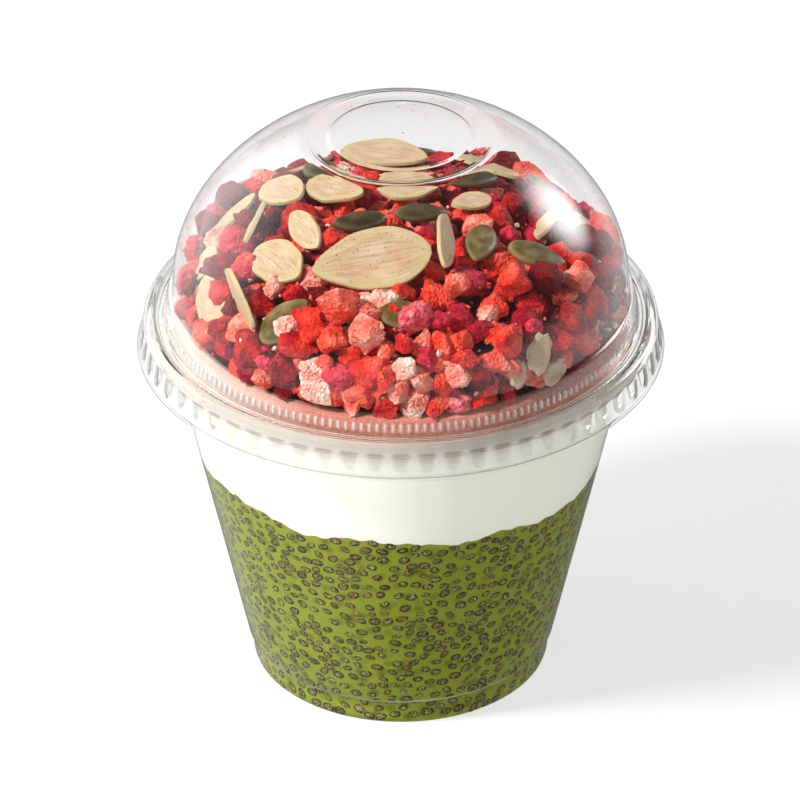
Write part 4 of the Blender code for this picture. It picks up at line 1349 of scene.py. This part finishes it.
class AddStage(bpy.types.Operator):
    """Adds the pale floor, the soft studio light and the camera"""

    bl_idname = "pudding.add_stage"
    bl_label = "Stage"

    def execute(self, context):
        deselect_all()
        bpy.ops.mesh.primitive_circle_add(vertices=96, radius=4.0, fill_type="NGON", location=(0, 0, 0))
        with editing():
            bpy.ops.mesh.inset(thickness=1.0)
        floor = bpy.context.object
        floor.name = "studio_floor"
        floor.data.materials.append(made_of("studio_paper", studio_paper))
        floor.visible_glossy = False
        # Each light: its turn and rise in degrees and its distance, its spans, its power and its even core.
        add_area_light("key_light", (-66, 45, 1.4), (0.36, 0.36), 31, 0.3)
        add_area_light("left_soft_box", (-106, 16, 1.35), (3.2, 1.6), 22, 0.2)
        add_area_light("front_fill", (26, 12, 2.0), (1.4, 1.2), 15.5, 0.3)
        add_area_light("left_highlight", (-122, 16, 1.35), (2.6, 2.2), 21, 0.1, True)
        add_area_light("back_right_highlight", (125, 23, 1.5), (1.05, 1.05), 25, 0.0, True)
        world = bpy.data.worlds.new("studio_world")
        world.use_nodes = True
        add = functools.partial(add_node, world.node_tree)
        x, _, z = add("SeparateXYZ", {0: add("TexCoord").outputs["Generated"]}).outputs
        left = add("MapRange", {
            "Value": x, "From Min": -0.03, "From Max": -0.5, "To Min": 0.2, "To Max": 0.7,
        }, interpolation_type="SMOOTHSTEP")
        leaning = add("Math", {0: z, 1: 0.8, 2: x}, operation="MULTIPLY_ADD")
        right = add("MapRange", {
            "Value": leaning, "From Min": 0.05, "From Max": 0.5, "To Min": 0.0, "To Max": 0.9,
        }, interpolation_type="SMOOTHSTEP")
        below = add("Math", {0: left, 1: right}, operation="ADD").outputs[0]
        strength = add("MapRange", {
            "Value": z, "From Min": -0.1, "From Max": 0.12, "To Min": below, "To Max": 0.16,
        })
        sky = world.node_tree.nodes["Background"]
        world.node_tree.links.new(strength.outputs[0], sky.inputs["Strength"])
        sky.inputs["Color"].default_value = (1, 1, 1, 1)
        context.scene.world = world
        context.scene.view_settings.view_transform = "Standard"
        self.add_camera(context)
        return {"FINISHED"}

    def add_camera(self, context):
        """Sets the camera as it stood for the photo, 1.2 m away and raised as the ellipses in it show."""
        distance, aim_height = 1.2, 0.0534
        data = bpy.data.cameras.new("camera")
        data.lens = 293.5
        data.sensor_width = 36.0
        data.shift_x = -0.001
        data.clip_start, data.clip_end = 0.05, 50.0
        camera = bpy.data.objects.new("camera", data)
        away, rise = distance * math.cos(CAMERA_RISE), distance * math.sin(CAMERA_RISE)
        camera.location = (0, -away, aim_height + rise)
        camera.rotation_euler = (math.pi / 2 - CAMERA_RISE, 0, 0)
        context.scene.collection.objects.link(camera)
        context.scene.camera = camera


class PuddingPanel(bpy.types.Panel):
    """Lists the steps of the cup of pudding"""

    bl_idname = "VIEW3D_PT_pudding_cup"
    bl_label = "Pudding Cup"
    bl_space_type = "VIEW_3D"
    bl_region_type = "UI"
    bl_category = "Pudding Cup"

    def draw(self, context):
        for step in STEPS:
            self.layout.operator(step.bl_idname)
        for holder in HOLDERS:
            group = getattr(context.scene, holder)
            box = self.layout.box()
            for name in group.bl_rna.properties.keys():
                if name not in ("rna_type", "name"):
                    box.prop(group, name)


HOLDERS = {
    "pudding_cup": CupSizes,
    "pudding_lid": LidSizes,
    "pudding_filling": FillingSizes,
    "pudding_toppings": ToppingSizes,
    "pudding_colours": PuddingColours,
}
STEPS = (
    AddStage, AddCup, AddPudding, AddChiaSeeds, AddYogurt, AddHeapCore, AddStrawberryPieces,
    AddRaspberryPieces, AddAlmondSlices, AddPumpkinSeeds, AddCrumbs, AddLid,
)


def register():
    for group in HOLDERS.values():
        bpy.utils.register_class(group)
    for holder, group in HOLDERS.items():
        setattr(bpy.types.Scene, holder, bpy.props.PointerProperty(type=group))
    for step in STEPS:
        bpy.utils.register_class(step)
    bpy.utils.register_class(PuddingPanel)


def unregister():
    bpy.utils.unregister_class(PuddingPanel)
    for step in reversed(STEPS):
        bpy.utils.unregister_class(step)
    for holder, group in reversed(HOLDERS.items()):
        delattr(bpy.types.Scene, holder)
        bpy.utils.unregister_class(group)


def main():
    register()
    bpy.ops.pudding.add_stage()
    bpy.ops.pudding.add_cup()
    bpy.ops.pudding.add_pudding()
    bpy.ops.pudding.add_chia_seeds()
    bpy.ops.pudding.add_yogurt()
    bpy.ops.pudding.add_heap_core()
    bpy.ops.pudding.add_strawberry()
    bpy.ops.pudding.add_raspberry()
    bpy.ops.pudding.add_almonds()
    bpy.ops.pudding.add_pumpkin_seeds()
    bpy.ops.pudding.add_crumbs()
    bpy.ops.pudding.add_lid()


if __name__ == "__main__":
    main()
